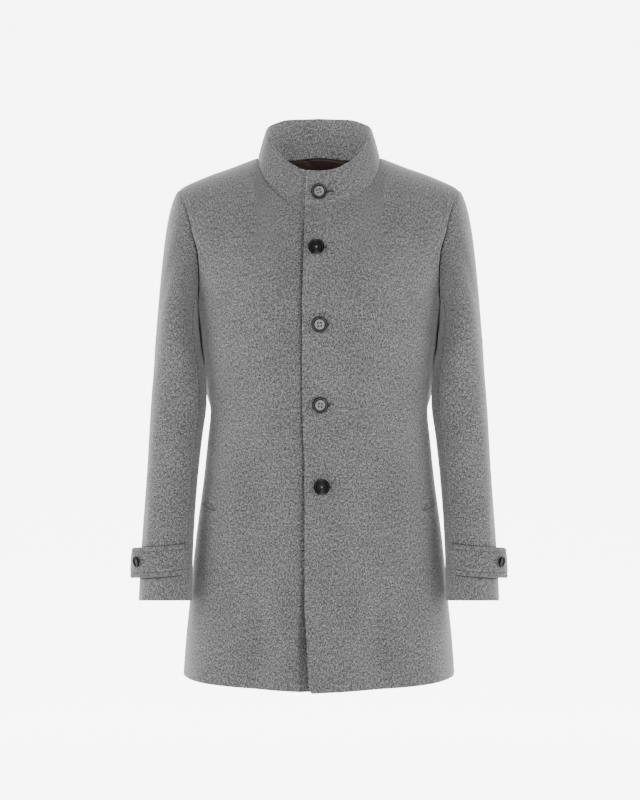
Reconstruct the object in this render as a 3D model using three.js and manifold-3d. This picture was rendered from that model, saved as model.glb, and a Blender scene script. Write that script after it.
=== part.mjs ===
// A wool coat, mid-thigh, with a stand collar, two-piece sleeves and five front buttons.
// Millimetres, +Z up, the front faces -Y, the wearer's left is +X.
// The origin is the centre of the neck at the level of the shoulder points.
import * as THREE from 'three';
import { mergeVertices } from 'three/addons/utils/BufferGeometryUtils.js';
import Module from 'manifold-3d';

const wasm = await Module();
wasm.setup();

// Driving dimensions
const CLOTH = 2.5;
const COLLAR_CLOTH = 4;
const TAB_CLOTH = 3.5;
const LINING_CLOTH = 1;
const SEAM_GAP = 0.4;
const LAY_GAP = 0.4;
const UNDERARM_Z = -235;
const NECK_HALF_WIDTH = 98;
const SHOULDER_TIP_X = 224.5;
const CORNER_SHARE = 3 / 7;
const SKIRT_SHARE = 4 / 7;
const PANEL_ROWS = 28;
const PANEL_COLUMNS = 14;
const ARCH_ROWS = 12;
const ARCH_ROW_GROWTH = 1.5;
const SQUARENESS = 2.4;
const FRONT_ARCH = 1.25;
const BACK_ARCH = 0.8;
const BACK_NECK_RISE = 29;
const NECK_EDGE_Z = -84;
const COLLAR_TOP_HALF_WIDTH = 85;
const COLLAR_TOP_FRONT = 92;
const COLLAR_TOP_BACK = 66;
const COLLAR_FLARE = 0.82;
const COLLAR_LIFT = 0.3;
const COLLAR_START = -12;
const COLLAR_END = 373;
const BICEP_Z = -275;
const CUFF_Z = -700;
const CUFF_TILT = 5;
const CAP_SHARE = 0.4;
const SLEEVE_SQUARENESS = 2.2;
const SLEEVE_SEAM_SHIFT = 0.3;
const SLEEVE_ROWS = 20;
const BUTTON_DIAMETER = 25;
const CUFF_BUTTON_DIAMETER = 17.5;
const QUARTER = Math.PI / 2;

// Body sections below the underarm, one row for each level
const BODY = {
  columns: ['z', 'halfWidth', 'front', 'back'],
  rows: [
    [-840, 217.5, 151, 160],
    [-770, 212.5, 148, 157],
    [-710, 206.5, 145, 152],
    [-640, 200, 141, 146],
    [-580, 193, 138, 140],
    [-515, 184.3, 134, 133],
    [-450, 177.5, 131, 128],
    [-405, 173.3, 130, 126],
    [-375, 176, 131, 128],
    [-340, 179, 134, 131],
    [-300, 185.5, 137, 136],
    [-260, 189.5, 139, 139],
    [-235, 193, 140, 140],
  ],
};

// The chest and shoulders, from the underarm level (0 degrees) up to the shoulder seam (90)
const ARCH = {
  columns: ['rise', 'halfWidth', 'armholeX'],
  rows: [
    [0, 193, 193],
    [6, 198, 189],
    [12, 205.5, 188.5],
    [23, 218, 191],
    [34, 235, 199.5],
    [45, 245, 206],
    [54, 254, 211.5],
    [70, 264, 220],
    [90, 270, 224.5],
  ],
};

// Height of the shoulder line across the body
const SHOULDER = {
  columns: ['x', 'z'],
  rows: [[0, 14], [50, 9], [98, 0], [115, -6], [141, -16], [170, -26], [192, -35], [214, -45], [225, -52]],
};

// Neckline: how far up the chest or back it lies at each angle round the neck
const NECK_FRONT = {
  columns: ['angle', 'rise'],
  rows: [[0, 37.9], [14, 38.4], [29, 40.6], [45, 46], [62.5, 55], [78, 69], [90, 90]],
};
const NECK_BACK = {
  columns: ['angle', 'rise'],
  rows: [[90, 90], [108, 80], [134, 70], [160, 63], [180, 62]],
};

// Overlapping front edge, measured from the centre line
const FRONT_EDGE = {
  columns: ['z', 'x'],
  rows: [[-840, -10], [-822, -15.5], [-750, -19], [-704, -22.3], [-566, -22.3], [-483, -23.2], [-400, -25.6],
    [-250, -26.3], [-163, -24.5], [-84, -20]],
};

// Height of the collar's top edge round the neck
const COLLAR_TOP = {
  columns: ['angle', 'z'],
  rows: [[0, -31], [10, -30.5], [20, -25.5], [28, -20.5], [38, -12], [56, 7], [66, 20], [75, 33], [90, 44],
    [120, 58], [145, 67], [180, 70]],
};

// Sleeve sections below the bicep
const SLEEVE = {
  columns: ['z', 'outer', 'inner', 'centreY', 'halfDepth'],
  rows: [
    [-705, 282.4, 198.6, -73, 50],
    [-640, 280, 198.2, -62, 51],
    [-580, 277, 196.2, -51, 53],
    [-515, 273, 192, -39, 55],
    [-450, 269.8, 185.5, -31, 58],
    [-387, 266.5, 178.5, -23, 63],
    [-336, 262.5, 182.5, -18, 70],
    [-300, 260.5, 188.5, -15, 76],
    [-275, 258.5, 191, -14, 78],
  ],
};

// Hem level round the body, 0 degrees at the centre front
const HEM = {
  columns: ['angle', 'z'],
  rows: [[-10, -835], [12, -832], [50, -826], [90, -822], [135, -824], [180, -826]],
};

// Largest drape folds: angle round the body, half width in degrees, levels, and depth (minus is a hollow)
const FOLDS = {
  columns: ['angle', 'spread', 'top', 'bottom', 'depth'],
  rows: [
    [32, 13, -560, -850, -4],
    [55, 12, -520, -850, 4.5],
    [-36, 12, -590, -850, -4.5],
    [-60, 12, -540, -850, 4],
    [118, 14, -500, -850, 5],
    [146, 13, -540, -850, -4.5],
    [-122, 13, -520, -850, 5],
    [-150, 14, -560, -850, -4],
  ],
};

// Front buttons, top to bottom
const BUTTON_PLACES = {
  columns: ['x', 'z'],
  rows: [[0, -66], [-4, -152], [1, -271], [2, -395], [4.3, -521]],
};

// How far the fronts lie off the body's form: the upper one opens towards the hem, the under one lies behind
const HEM_OPENING = { depth: 6, topZ: -680, bottomZ: -840, edgeX: -25, endX: 70 };
const UNDERLAP = { depth: CLOTH + LAY_GAP + 0.3, startX: 30, endX: 85 };

// The collar's under end moves in behind the upper one between these angles
const COLLAR_LAP = { depth: COLLAR_CLOTH + LAY_GAP + 0.5, from: 268, to: 328 };

// How the sleeve cap leaves the armhole: outward, to the front and back, and down
const CAP = { outward: 70, sideways: 30, dropUnder: 1, dropTop: 0.36 };

// Smooth curve through a table's column, flat past its ends
function sample(table, name, at) {
  const rows = table.rows;
  const c = table.columns.indexOf(name);
  const last = rows.length - 1;
  if (at <= rows[0][0]) return rows[0][c];
  if (at >= rows[last][0]) return rows[last][c];
  let i = 0;
  while (at > rows[i + 1][0]) i += 1;
  const span = rows[i + 1][0] - rows[i][0];
  const slope = (a, b) => (rows[b][c] - rows[a][c]) / (rows[b][0] - rows[a][0]);
  const here = slope(i, i + 1);
  const before = i > 0 ? slope(i - 1, i) : here;
  const after = i + 1 < last ? slope(i + 1, i + 2) : here;
  const mean = (a, b) => (a * b <= 0 ? 0 : (2 * a * b) / (a + b));
  const startSlope = i > 0 ? mean(before, here) : here;
  const endSlope = i + 1 < last ? mean(here, after) : here;
  const t = (at - rows[i][0]) / span;
  const u = 1 - t;
  return rows[i][c] * u * u * (1 + 2 * t) + rows[i + 1][c] * t * t * (3 - 2 * t)
    + span * (startSlope * t * u * u - endSlope * t * t * u);
}

const lerp = THREE.MathUtils.lerp;
const smooth = THREE.MathUtils.smoothstep;
const radians = THREE.MathUtils.degToRad;
const degrees = THREE.MathUtils.radToDeg;

function ovalDepth(x, halfWidth, depth) {
  const share = Math.min(1, Math.abs(x / halfWidth));
  return depth * Math.pow(1 - Math.pow(share, SQUARENESS), 1 / SQUARENESS);
}

// Drape folds push the skirt out or in, growing towards the hem
function foldDepth(x, y, z) {
  const angle = degrees(Math.atan2(x, -y));
  let depth = 0;
  for (const [at, spread, top, bottom, amount] of FOLDS.rows) {
    let away = Math.abs(angle - at);
    away = Math.min(away, 360 - away) / spread;
    if (z < top && away < 2.5) depth += amount * ((top - z) / (top - bottom)) * Math.exp(-away * away);
  }
  return depth;
}

// Point of the torso below the underarm; face is -1 at the front and 1 at the back
function torsoPoint(x, z, face, side) {
  const halfWidth = sample(BODY, 'halfWidth', z);
  const depth = sample(BODY, face < 0 ? 'front' : 'back', z);
  const y = face * ovalDepth(x, halfWidth, depth);
  const push = foldDepth(side * x, y, z);
  const length = Math.hypot(x, y);
  return new THREE.Vector3(x * (1 + push / length), y * (1 + push / length), z);
}

// Point of the chest, upper back and shoulders
function archPoint(x, rise, face) {
  const halfWidth = sample(ARCH, 'halfWidth', rise);
  const angle = radians(rise);
  const depth = sample(BODY, face < 0 ? 'front' : 'back', UNDERARM_Z);
  const bow = Math.pow(Math.max(0, Math.cos(angle)), face < 0 ? FRONT_ARCH : BACK_ARCH);
  const inNeck = Math.min(1, Math.abs(x) / NECK_HALF_WIDTH);
  const lift = face > 0 ? BACK_NECK_RISE * (1 - inNeck * inNeck) : 0;
  const top = sample(SHOULDER, 'z', Math.abs(x)) + lift;
  const z = UNDERARM_Z + (top - UNDERARM_Z) * Math.sin(angle);
  return new THREE.Vector3(x, face * bow * ovalDepth(x, halfWidth, depth), z);
}

function necklineRise(angle, face) {
  return face < 0 ? sample(NECK_FRONT, 'rise', Math.abs(angle)) : sample(NECK_BACK, 'rise', angle);
}

// Rows gather low on the armhole, where it bends most
function armholeRise(t) {
  return 90 * Math.pow(t, ARCH_ROW_GROWTH);
}

// A half panel's place in (x, rise): from the centre edge to the armhole, up to the neck and shoulder
function archPlace(across, up, face, edgeX) {
  const topEdgeAngle = degrees(Math.asin(edgeX.top / NECK_HALF_WIDTH));
  const topOf = (s) => {
    if (s > CORNER_SHARE) {
      const share = (s - CORNER_SHARE) / (1 - CORNER_SHARE);
      return [lerp(NECK_HALF_WIDTH, SHOULDER_TIP_X, share), 90];
    }
    const share = s / CORNER_SHARE;
    const angle = face < 0 ? lerp(topEdgeAngle, 90, share) : lerp(180, 90, share);
    return [NECK_HALF_WIDTH * Math.sin(radians(angle)), necklineRise(angle, face)];
  };
  const bottomOf = (s) => [widthAt(s, edgeX.bottom, UNDERARM_Z), 0];
  const edgeTop = topOf(0)[1];
  const edgeOf = (t) => [lerp(edgeX.bottom, edgeX.top, t), edgeTop * t];
  const armholeOf = (t) => {
    const rise = armholeRise(t);
    return [sample(ARCH, 'armholeX', rise), rise];
  };
  const place = [0, 1].map((k) => {
    const sides = (1 - across) * edgeOf(up)[k] + across * armholeOf(up)[k];
    const ends = (1 - up) * bottomOf(across)[k] + up * topOf(across)[k];
    const corners = (1 - across) * (1 - up) * edgeOf(0)[k] + across * (1 - up) * armholeOf(0)[k]
      + (1 - across) * up * topOf(0)[k] + across * up * topOf(1)[k];
    return sides + ends - corners;
  });
  return { x: place[0], rise: place[1] };
}

// Distance from the centre line at a share of the way from the edge to the side seam
function widthAt(across, edge, z) {
  const halfWidth = sample(BODY, 'halfWidth', z);
  const start = Math.asin(edge / halfWidth);
  return halfWidth * Math.sin(lerp(start, QUARTER, across));
}

function hemLevel(across, face) {
  const angle = face < 0 ? lerp(-10, 90, across) : lerp(180, 90, across);
  return sample(HEM, 'z', angle);
}

// Point of a half panel: up runs from the hem (0) through the underarm (SKIRT_SHARE) to the shoulder (1)
function halfPanelPoint(across, up, face, side) {
  if (up <= SKIRT_SHARE) {
    const z = lerp(hemLevel(across, face), UNDERARM_Z, up / SKIRT_SHARE);
    const edge = face < 0 ? sample(FRONT_EDGE, 'x', z) : 0;
    return torsoPoint(widthAt(across, edge, z), z, face, side);
  }
  const edgeX = face < 0
    ? { bottom: sample(FRONT_EDGE, 'x', UNDERARM_Z), top: sample(FRONT_EDGE, 'x', NECK_EDGE_Z) }
    : { bottom: 0, top: 0 };
  const place = archPlace(across, (up - SKIRT_SHARE) / (1 - SKIRT_SHARE), face, edgeX);
  return archPoint(place.x, place.rise, face);
}

// Unit normal of a surface f(u, v), turned away from the inner point that it is given
function normalOf(f, u, v, inner) {
  const step = 1e-4;
  const clampStep = (value) => (value + step > 1 ? -step : step);
  const du = clampStep(u);
  const dv = clampStep(v);
  const here = f(u, v);
  const alongU = f(u + du, v).sub(here).multiplyScalar(Math.sign(du));
  const alongV = f(u, v + dv).sub(here).multiplyScalar(Math.sign(dv));
  const normal = alongU.cross(alongV).normalize();
  if (normal.dot(here.sub(inner)) < 0) normal.negate();
  return normal;
}

// Closed wall between an outer and an inner grid of points
function wallBetween(outer, inner) {
  const rows = outer.length;
  const columns = outer[0].length;
  const positions = [];
  for (const grid of [outer, inner]) {
    for (const row of grid) {
      for (const p of row) positions.push(p.x, p.y, p.z);
    }
  }
  const id = (layer, r, c) => layer * rows * columns + r * columns + c;
  const faces = [];
  const quad = (a, b, c, d) => faces.push(a, b, c, a, c, d);
  for (let r = 0; r + 1 < rows; r += 1) {
    for (let c = 0; c + 1 < columns; c += 1) {
      quad(id(0, r, c), id(0, r, c + 1), id(0, r + 1, c + 1), id(0, r + 1, c));
      quad(id(1, r, c), id(1, r + 1, c), id(1, r + 1, c + 1), id(1, r, c + 1));
    }
  }
  for (let c = 0; c + 1 < columns; c += 1) {
    quad(id(0, 0, c), id(1, 0, c), id(1, 0, c + 1), id(0, 0, c + 1));
    quad(id(0, rows - 1, c), id(0, rows - 1, c + 1), id(1, rows - 1, c + 1), id(1, rows - 1, c));
  }
  for (let r = 0; r + 1 < rows; r += 1) {
    quad(id(0, r, 0), id(0, r + 1, 0), id(1, r + 1, 0), id(1, r, 0));
    quad(id(0, r, columns - 1), id(1, r, columns - 1), id(1, r + 1, columns - 1), id(0, r + 1, columns - 1));
  }
  return closedGeometry(positions, faces);
}

function signedVolume(positions, faces) {
  let volume = 0;
  const at = (i) => new THREE.Vector3(positions[3 * i], positions[3 * i + 1], positions[3 * i + 2]);
  for (let i = 0; i < faces.length; i += 3) {
    volume += at(faces[i]).dot(at(faces[i + 1]).cross(at(faces[i + 2]))) / 6;
  }
  return volume;
}

function closedGeometry(positions, faces) {
  if (signedVolume(positions, faces) < 0) faces.reverse();
  const geometry = new THREE.BufferGeometry();
  geometry.setAttribute('position', new THREE.Float32BufferAttribute(positions, 3));
  geometry.setIndex(faces);
  geometry.computeVertexNormals();
  return geometry;
}

function gridOf(rows, columns, f) {
  const grid = [];
  for (let r = 0; r <= rows; r += 1) {
    const line = [];
    for (let c = 0; c <= columns; c += 1) line.push(f(c / columns, r / rows));
    grid.push(line);
  }
  return grid;
}

const group = new THREE.Group();

function addPiece(name, geometry, look) {
  const material = new THREE.MeshStandardMaterial(look);
  const mesh = new THREE.Mesh(geometry, material);
  mesh.name = name;
  group.add(mesh);
}

const WOOL = { color: 0x5a5a5c, roughness: 0.95, metalness: 0 };
const WOOL_COLLAR = { color: 0x626264, roughness: 0.95, metalness: 0 };
const LINING_LOOK = { color: 0x2a211e, roughness: 0.6, metalness: 0 };
const PATCH_LOOK = { color: 0x3d2c25, roughness: 0.45, metalness: 0 };
const HORN_GREY = { color: 0x6e6a66, roughness: 0.35, metalness: 0 };
const HORN_DARK = { color: 0x2c2623, roughness: 0.35, metalness: 0 };

const AXIS_POINT = new THREE.Vector3();

// Point on the body's axis level with p, with the chest's inside kept low so that normals face out
function innerPointOf(p) {
  return AXIS_POINT.clone().setZ(Math.min(p.z, UNDERARM_Z));
}

// The upper front lies proud of the under one near the centre, and opens a little towards the hem
function frontShift(x, z, side) {
  if (side > 0) {
    const low = smooth(-z, -HEM_OPENING.topZ, -HEM_OPENING.bottomZ);
    return HEM_OPENING.depth * low * (1 - smooth(x, HEM_OPENING.edgeX, HEM_OPENING.endX));
  }
  return -UNDERLAP.depth * (1 - smooth(x, UNDERLAP.startX, UNDERLAP.endX));
}

// A half panel's outer points and normals, made for x towards the side seam
function halfPanelGrid(face, side) {
  const f = (u, v) => halfPanelPoint(u, v, face, side);
  return gridOf(PANEL_ROWS, PANEL_COLUMNS, (across, up) => {
    const p = f(across, up);
    const normal = normalOf(f, across, up, innerPointOf(p));
    if (face < 0) p.addScaledVector(normal, frontShift(p.x, p.z, side));
    const onSeam = across === 1 || (up === 1 && across > CORNER_SHARE - 1e-9);
    if (onSeam) p.y += (face * SEAM_GAP) / 2;
    return { p: mirrored(p, side), normal: mirrored(normal, side) };
  });
}

function mirrored(v, side) {
  return side > 0 ? v : new THREE.Vector3(-v.x, v.y, v.z);
}

function offsetGrid(grid, distance) {
  return grid.map((line) => line.map(({ p, normal }) => p.clone().addScaledVector(normal, distance)));
}

const FRONT_LEFT = halfPanelGrid(-1, 1);
const FRONT_RIGHT = halfPanelGrid(-1, -1);
const BACK_LEFT = halfPanelGrid(1, 1);
const BACK_RIGHT = halfPanelGrid(1, -1);

// The back's two halves share their centre line
const BACK = BACK_LEFT.map((line, r) => {
  const middle = line[0];
  middle.normal.x = 0;
  middle.normal.normalize();
  return [...BACK_RIGHT[r].slice(1).reverse(), middle, ...line.slice(1)];
});

function addPanel(name, grid) {
  addPiece(name, wallBetween(offsetGrid(grid, 0), offsetGrid(grid, -CLOTH)), WOOL);
}

// Armhole points at the panels' own rows, from the shoulder tip over the back to the underarm and the front
const ARMHOLE = (() => {
  const steps = Array.from({ length: ARCH_ROWS }, (unused, i) => i);
  const at = (k, face) => {
    const rise = armholeRise(k / ARCH_ROWS);
    return archPoint(sample(ARCH, 'armholeX', rise), rise, face);
  };
  const back = steps.map((i) => at(ARCH_ROWS - i, 1));
  const front = steps.map((i) => at(i, -1));
  const points = [...back, ...front, at(ARCH_ROWS, -1)];
  const lengths = [0];
  for (let i = 1; i < points.length; i += 1) lengths.push(lengths[i - 1] + points[i].distanceTo(points[i - 1]));
  const half = lengths[ARCH_ROWS];
  const rest = lengths[points.length - 1] - half;
  const angles = lengths.map((l, i) => (i <= ARCH_ROWS ? (180 * l) / half : 180 + (180 * (l - half)) / rest));
  return { points, angles };
})();

// Angle round the sleeve: 0 at the shoulder tip, 90 at the back, 180 at the underarm, 270 at the front
function armholePoint(angle) {
  let i = 0;
  while (i + 2 < ARMHOLE.angles.length && ARMHOLE.angles[i + 1] < angle) i += 1;
  const t = (angle - ARMHOLE.angles[i]) / (ARMHOLE.angles[i + 1] - ARMHOLE.angles[i]);
  const p = ARMHOLE.points[i].clone().lerp(ARMHOLE.points[i + 1], t);
  p.x += SEAM_GAP;
  return p;
}

function sleeveRing(angle, z) {
  const outer = sample(SLEEVE, 'outer', z);
  const inner = sample(SLEEVE, 'inner', z);
  const half = (outer - inner) / 2;
  const depth = sample(SLEEVE, 'halfDepth', z);
  const c = Math.cos(radians(angle));
  const s = Math.sin(radians(angle));
  const power = 2 / SLEEVE_SQUARENESS;
  const x = (outer + inner) / 2 + half * Math.sign(c) * Math.pow(Math.abs(c), power);
  const y = sample(SLEEVE, 'centreY', z) + depth * Math.sign(s) * Math.pow(Math.abs(s), power);
  return new THREE.Vector3(x, y, z);
}

// How near an angle round the sleeve is to the shoulder tip: 1 at the tip, 0 at the underarm
function nearTip(angle) {
  return (1 + Math.cos(radians(angle))) / 2;
}

// The cuff is cut a little higher in front than behind
function cuffLevel(angle) {
  return CUFF_Z - CUFF_TILT * Math.sin(radians(angle));
}

// Point of the sleeve: down runs from the armhole (0) over the cap (CAP_SHARE) to the cuff (1)
function sleevePoint(angle, down) {
  if (down >= CAP_SHARE) {
    return sleeveRing(angle, lerp(BICEP_Z, cuffLevel(angle), (down - CAP_SHARE) / (1 - CAP_SHARE)));
  }
  const start = armholePoint(angle);
  const end = sleeveRing(angle, BICEP_Z);
  const drop = start.z - end.z;
  const high = nearTip(angle);
  const leave = new THREE.Vector3(
    CAP.outward * (1 - Math.pow(1 - high, 3)),
    CAP.sideways * Math.sin(radians(angle)),
    -lerp(CAP.dropUnder, CAP.dropTop, high) * drop,
  );
  const step = 8;
  const arrive = sleeveRing(angle, BICEP_Z - step).sub(end).multiplyScalar(drop / step);
  const t = down / CAP_SHARE;
  const u = 1 - t;
  return start.multiplyScalar(u * u * (1 + 2 * t))
    .addScaledVector(end, t * t * (3 - 2 * t))
    .addScaledVector(leave, t * u * u)
    .addScaledVector(arrive, -t * t * u);
}

function sleeveCentre(p) {
  const z = Math.min(p.z, BICEP_Z);
  const x = (sample(SLEEVE, 'outer', z) + sample(SLEEVE, 'inner', z)) / 2;
  return new THREE.Vector3(x, sample(SLEEVE, 'centreY', z), Math.min(p.z, -200));
}

// The first ring's edge faces the body panel's own edge, so its direction leans to the body's normal
function sleeveInward(angle, down) {
  const f = (u, v) => sleevePoint(u * 360, v);
  const p = f(angle / 360, down);
  const normal = normalOf(f, angle / 360, down, sleeveCentre(p));
  if (down > 0) return normal.negate();
  const high = nearTip(angle);
  const bodyNormal = new THREE.Vector3(0.25, Math.sin(radians(angle)) * 0.9, high).normalize();
  return normal.multiplyScalar(1 - high).addScaledVector(bodyNormal, high).normalize().negate();
}

// A sleeve piece runs between two seams, given as places in the armhole's list of points
function addSleevePart(name, side, seams) {
  const count = ARMHOLE.angles.length - 1;
  const turns = [];
  for (let k = seams.from; k <= seams.to; k += 1) turns.push(ARMHOLE.angles[k % count]);
  const columns = turns.length - 1;
  const outer = [];
  const inner = [];
  for (let r = 0; r <= SLEEVE_ROWS; r += 1) {
    const outerLine = [];
    const innerLine = [];
    const down = r / SLEEVE_ROWS;
    turns.forEach((turn, c) => {
      const p = sleevePoint(turn, down);
      const inward = sleeveInward(turn, down);
      if (c === 0 || c === columns) {
        const ahead = sleevePoint(turn + 1, down).sub(p).normalize();
        p.addScaledVector(ahead, c === 0 ? SLEEVE_SEAM_SHIFT : -SLEEVE_SEAM_SHIFT);
      }
      outerLine.push(mirrored(p, side));
      innerLine.push(mirrored(p.clone().addScaledVector(inward, CLOTH), side));
    });
    outer.push(outerLine);
    inner.push(innerLine);
  }
  addPiece(name, wallBetween(outer, inner), WOOL);
}

const BACK_SEAM = ARCH_ROWS - 4;
const FRONT_SEAM = ARCH_ROWS + 2;
const UNDER_SLEEVE = { from: BACK_SEAM, to: FRONT_SEAM };
const TOP_SLEEVE = { from: FRONT_SEAM, to: BACK_SEAM + 2 * ARCH_ROWS };

// The collar stands on the panels' own neck points, so its foot runs level with their facets
function neckSeamPoint(angle, face) {
  const columns = CORNER_SHARE * PANEL_COLUMNS;
  const edgeAngle = degrees(Math.asin(sample(FRONT_EDGE, 'x', NECK_EDGE_Z) / NECK_HALF_WIDTH));
  const start = face < 0 ? edgeAngle : 180;
  const place = ((angle - start) / (90 - start)) * columns;
  const i = Math.min(columns - 1, Math.floor(place));
  const grid = face < 0 ? FRONT_LEFT : BACK_LEFT;
  const foot = grid[PANEL_ROWS][i].p.clone().lerp(grid[PANEL_ROWS][i + 1].p, place - i);
  foot.z += SEAM_GAP + COLLAR_LIFT;
  return foot;
}

// Collar: turn 0 is the centre front; it starts past the centre on top and ends past it underneath
function collarPoint(turn, height) {
  const side = Math.sin(radians(turn)) < 0 ? -1 : 1;
  const wrapped = degrees(Math.acos(Math.cos(radians(turn))));
  const face = wrapped < 90 ? -1 : 1;
  const foot = neckSeamPoint(wrapped, face);
  const reach = face < 0 ? COLLAR_TOP_FRONT : COLLAR_TOP_BACK;
  const top = new THREE.Vector3(
    COLLAR_TOP_HALF_WIDTH * Math.sin(radians(wrapped)),
    -reach * Math.cos(radians(wrapped)),
    sample(COLLAR_TOP, 'z', wrapped),
  );
  const flare = Math.pow(height, COLLAR_FLARE);
  const p = new THREE.Vector3(lerp(foot.x, top.x, flare), lerp(foot.y, top.y, flare), lerp(foot.z, top.z, height));
  p.x *= side;
  return p;
}

function addCollar() {
  const rows = 4;
  const columns = 44;
  const outer = [];
  const inner = [];
  for (let r = 0; r <= rows; r += 1) {
    const outerLine = [];
    const innerLine = [];
    for (let c = 0; c <= columns; c += 1) {
      const turn = lerp(COLLAR_START, COLLAR_END, c / columns);
      const height = r / rows;
      const p = collarPoint(turn, height);
      const ahead = collarPoint(turn + 0.5, height).sub(collarPoint(turn - 0.5, height));
      const normal = new THREE.Vector3(-ahead.y, ahead.x, 0).normalize();
      if (normal.dot(p) < 0) normal.negate();
      p.addScaledVector(normal, -COLLAR_LAP.depth * smooth(turn, COLLAR_LAP.from, COLLAR_LAP.to));
      outerLine.push(p);
      innerLine.push(p.clone().addScaledVector(normal, -COLLAR_CLOTH));
    }
    outer.push(outerLine);
    inner.push(innerLine);
  }
  addPiece('collar', wallBetween(outer, inner), WOOL_COLLAR);
}

// Lining of the back neck, from the back's own points moved in
const LINING_ROWS = 8;
const LINING_COLUMNS = CORNER_SHARE * PANEL_COLUMNS - 1;
const LINING = BACK.slice(PANEL_ROWS - LINING_ROWS)
  .map((line) => line.slice(PANEL_COLUMNS - LINING_COLUMNS, PANEL_COLUMNS + LINING_COLUMNS + 1));

function addLining() {
  const near = CLOTH + LAY_GAP;
  const geometry = wallBetween(offsetGrid(LINING, -near), offsetGrid(LINING, -near - LINING_CLOTH));
  addPiece('lining', geometry, LINING_LOOK);
}

// Half-moon patch: its straight side lies along the neck seam, its round side hangs down
const PATCH = { halfColumns: 2.2, topRow: 0.15, dropRows: 2.1, endRoundness: 0.97, gap: 0.64 };

function addPatch() {
  const near = CLOTH + LAY_GAP + LINING_CLOTH + PATCH.gap;
  const at = (inset) => {
    const grid = offsetGrid(LINING, -inset);
    return gridOf(4, 12, (u, v) => {
      const along = 2 * u - 1;
      const drop = PATCH.dropRows * Math.sqrt(1 - (along * PATCH.endRoundness) ** 2);
      const row = LINING_ROWS - PATCH.topRow - drop * (1 - v);
      return betweenPoints(grid, LINING_COLUMNS + along * PATCH.halfColumns, row);
    });
  };
  addPiece('neck_patch', wallBetween(at(near), at(near + LINING_CLOTH)), PATCH_LOOK);
}

// Point between the four nearest points of a grid
function betweenPoints(grid, column, row) {
  const c = Math.min(grid[0].length - 2, Math.floor(column));
  const r = Math.min(grid.length - 2, Math.floor(row));
  const low = grid[r][c].clone().lerp(grid[r][c + 1], column - c);
  const high = grid[r + 1][c].clone().lerp(grid[r + 1][c + 1], column - c);
  return low.lerp(high, row - r);
}

// Cuff tab: it starts at the front seam, climbs a little to that end, and its free end stands off outside
const TAB = {
  startAngle: 223,
  endAngle: 350,
  topZ: -620.5,
  bottomZ: -664.5,
  climb: 9,
  gap: 0.7,
  standOff: 12,
  standOffFrom: 0.42,
  standOffTo: 1.05,
  cornerAngle: 6,
  cornerFrom: 0.85,
};

function tabPoint(along, up, lift) {
  const corner = TAB.cornerAngle * Math.pow(Math.abs(2 * up - 1), 3) * smooth(along, TAB.cornerFrom, 1);
  const angle = lerp(TAB.startAngle, TAB.endAngle, along) - corner;
  const z = lerp(TAB.bottomZ, TAB.topZ, up) + TAB.climb * (1 - along);
  const f = (u, v) => sleeveRing(u * 360, v * 1000);
  const p = f(angle / 360, z / 1000);
  const normal = normalOf(f, angle / 360, z / 1000, sleeveCentre(p));
  const away = TAB.standOff * Math.pow(smooth(along, TAB.standOffFrom, TAB.standOffTo), 1.2);
  return p.addScaledVector(normal, TAB.gap + away + lift);
}

function addTab(name, side) {
  const at = (lift) => gridOf(4, 16, (u, v) => mirrored(tabPoint(u, v, lift), side));
  addPiece(name, wallBetween(at(TAB_CLOTH), at(0)), WOOL);
}

// Pocket welts: short slanted strips near the side seams, lying on the fronts
const WELT = { inX: 163, outX: 181, inZ: -556, outZ: -548, height: 5, thick: 1.5 };

function frontSurface(x, z, lift) {
  const f = (u, v) => torsoPoint(u * 250, v * 1000, -1, 1);
  const p = f(x / 250, z / 1000);
  const normal = normalOf(f, x / 250, z / 1000, innerPointOf(p));
  return p.addScaledVector(normal, lift);
}

function addWelt(name, side) {
  const at = (lift) => gridOf(1, 4, (u, v) => {
    const z = lerp(WELT.inZ, WELT.outZ, u) + (v - 0.5) * WELT.height;
    return mirrored(frontSurface(lerp(WELT.inX, WELT.outX, u), z, lift), side);
  });
  addPiece(name, wallBetween(at(LAY_GAP + WELT.thick), at(LAY_GAP)), WOOL);
}

// A button's profile as shares of its radius and thickness, from the middle of its back round to its face
const BUTTON_PROFILE = [[0, 0], [0.8, 0], [1, 0.45], [0.93, 1], [0.74, 0.95], [0.6, 0.62], [0, 0.62]];
const BUTTON = { thickness: 0.18, holeRadius: 0.055, holeSpread: 0.105, lift: 0.9, cuffLift: 1.5 };

// A four-hole button with a raised rim and a dished face, its back on z = 0
function buttonGeometry(diameter, segments) {
  const thick = diameter * BUTTON.thickness;
  const profile = BUTTON_PROFILE.map(([r, h]) => new THREE.Vector2((r * diameter) / 2, h * thick));
  const body = new THREE.LatheGeometry(profile, segments);
  body.rotateX(QUARTER);
  let solid = solidOf(body);
  const holeRadius = diameter * BUTTON.holeRadius;
  const spread = diameter * BUTTON.holeSpread;
  for (const [sx, sy] of [[1, 1], [1, -1], [-1, 1], [-1, -1]]) {
    const hole = new THREE.CylinderGeometry(holeRadius, holeRadius, thick * 3, 6);
    hole.rotateX(QUARTER);
    hole.translate(sx * spread, sy * spread, 0);
    solid = solid.subtract(solidOf(hole));
  }
  const mesh = solid.getMesh();
  return closedGeometry(Array.from(mesh.vertProperties), Array.from(mesh.triVerts));
}

function solidOf(geometry) {
  const bare = geometry.clone();
  bare.deleteAttribute('normal');
  bare.deleteAttribute('uv');
  const merged = mergeVertices(bare);
  const kept = [];
  const index = merged.index.array;
  for (let i = 0; i < index.length; i += 3) {
    const [a, b, c] = [index[i], index[i + 1], index[i + 2]];
    if (a !== b && b !== c && a !== c) kept.push(a, b, c);
  }
  const positions = Array.from(merged.attributes.position.array);
  if (signedVolume(positions, kept) < 0) kept.reverse();
  return new wasm.Manifold(new wasm.Mesh({
    numProp: 3,
    vertProperties: new Float32Array(positions),
    triVerts: new Uint32Array(kept),
  }));
}

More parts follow.
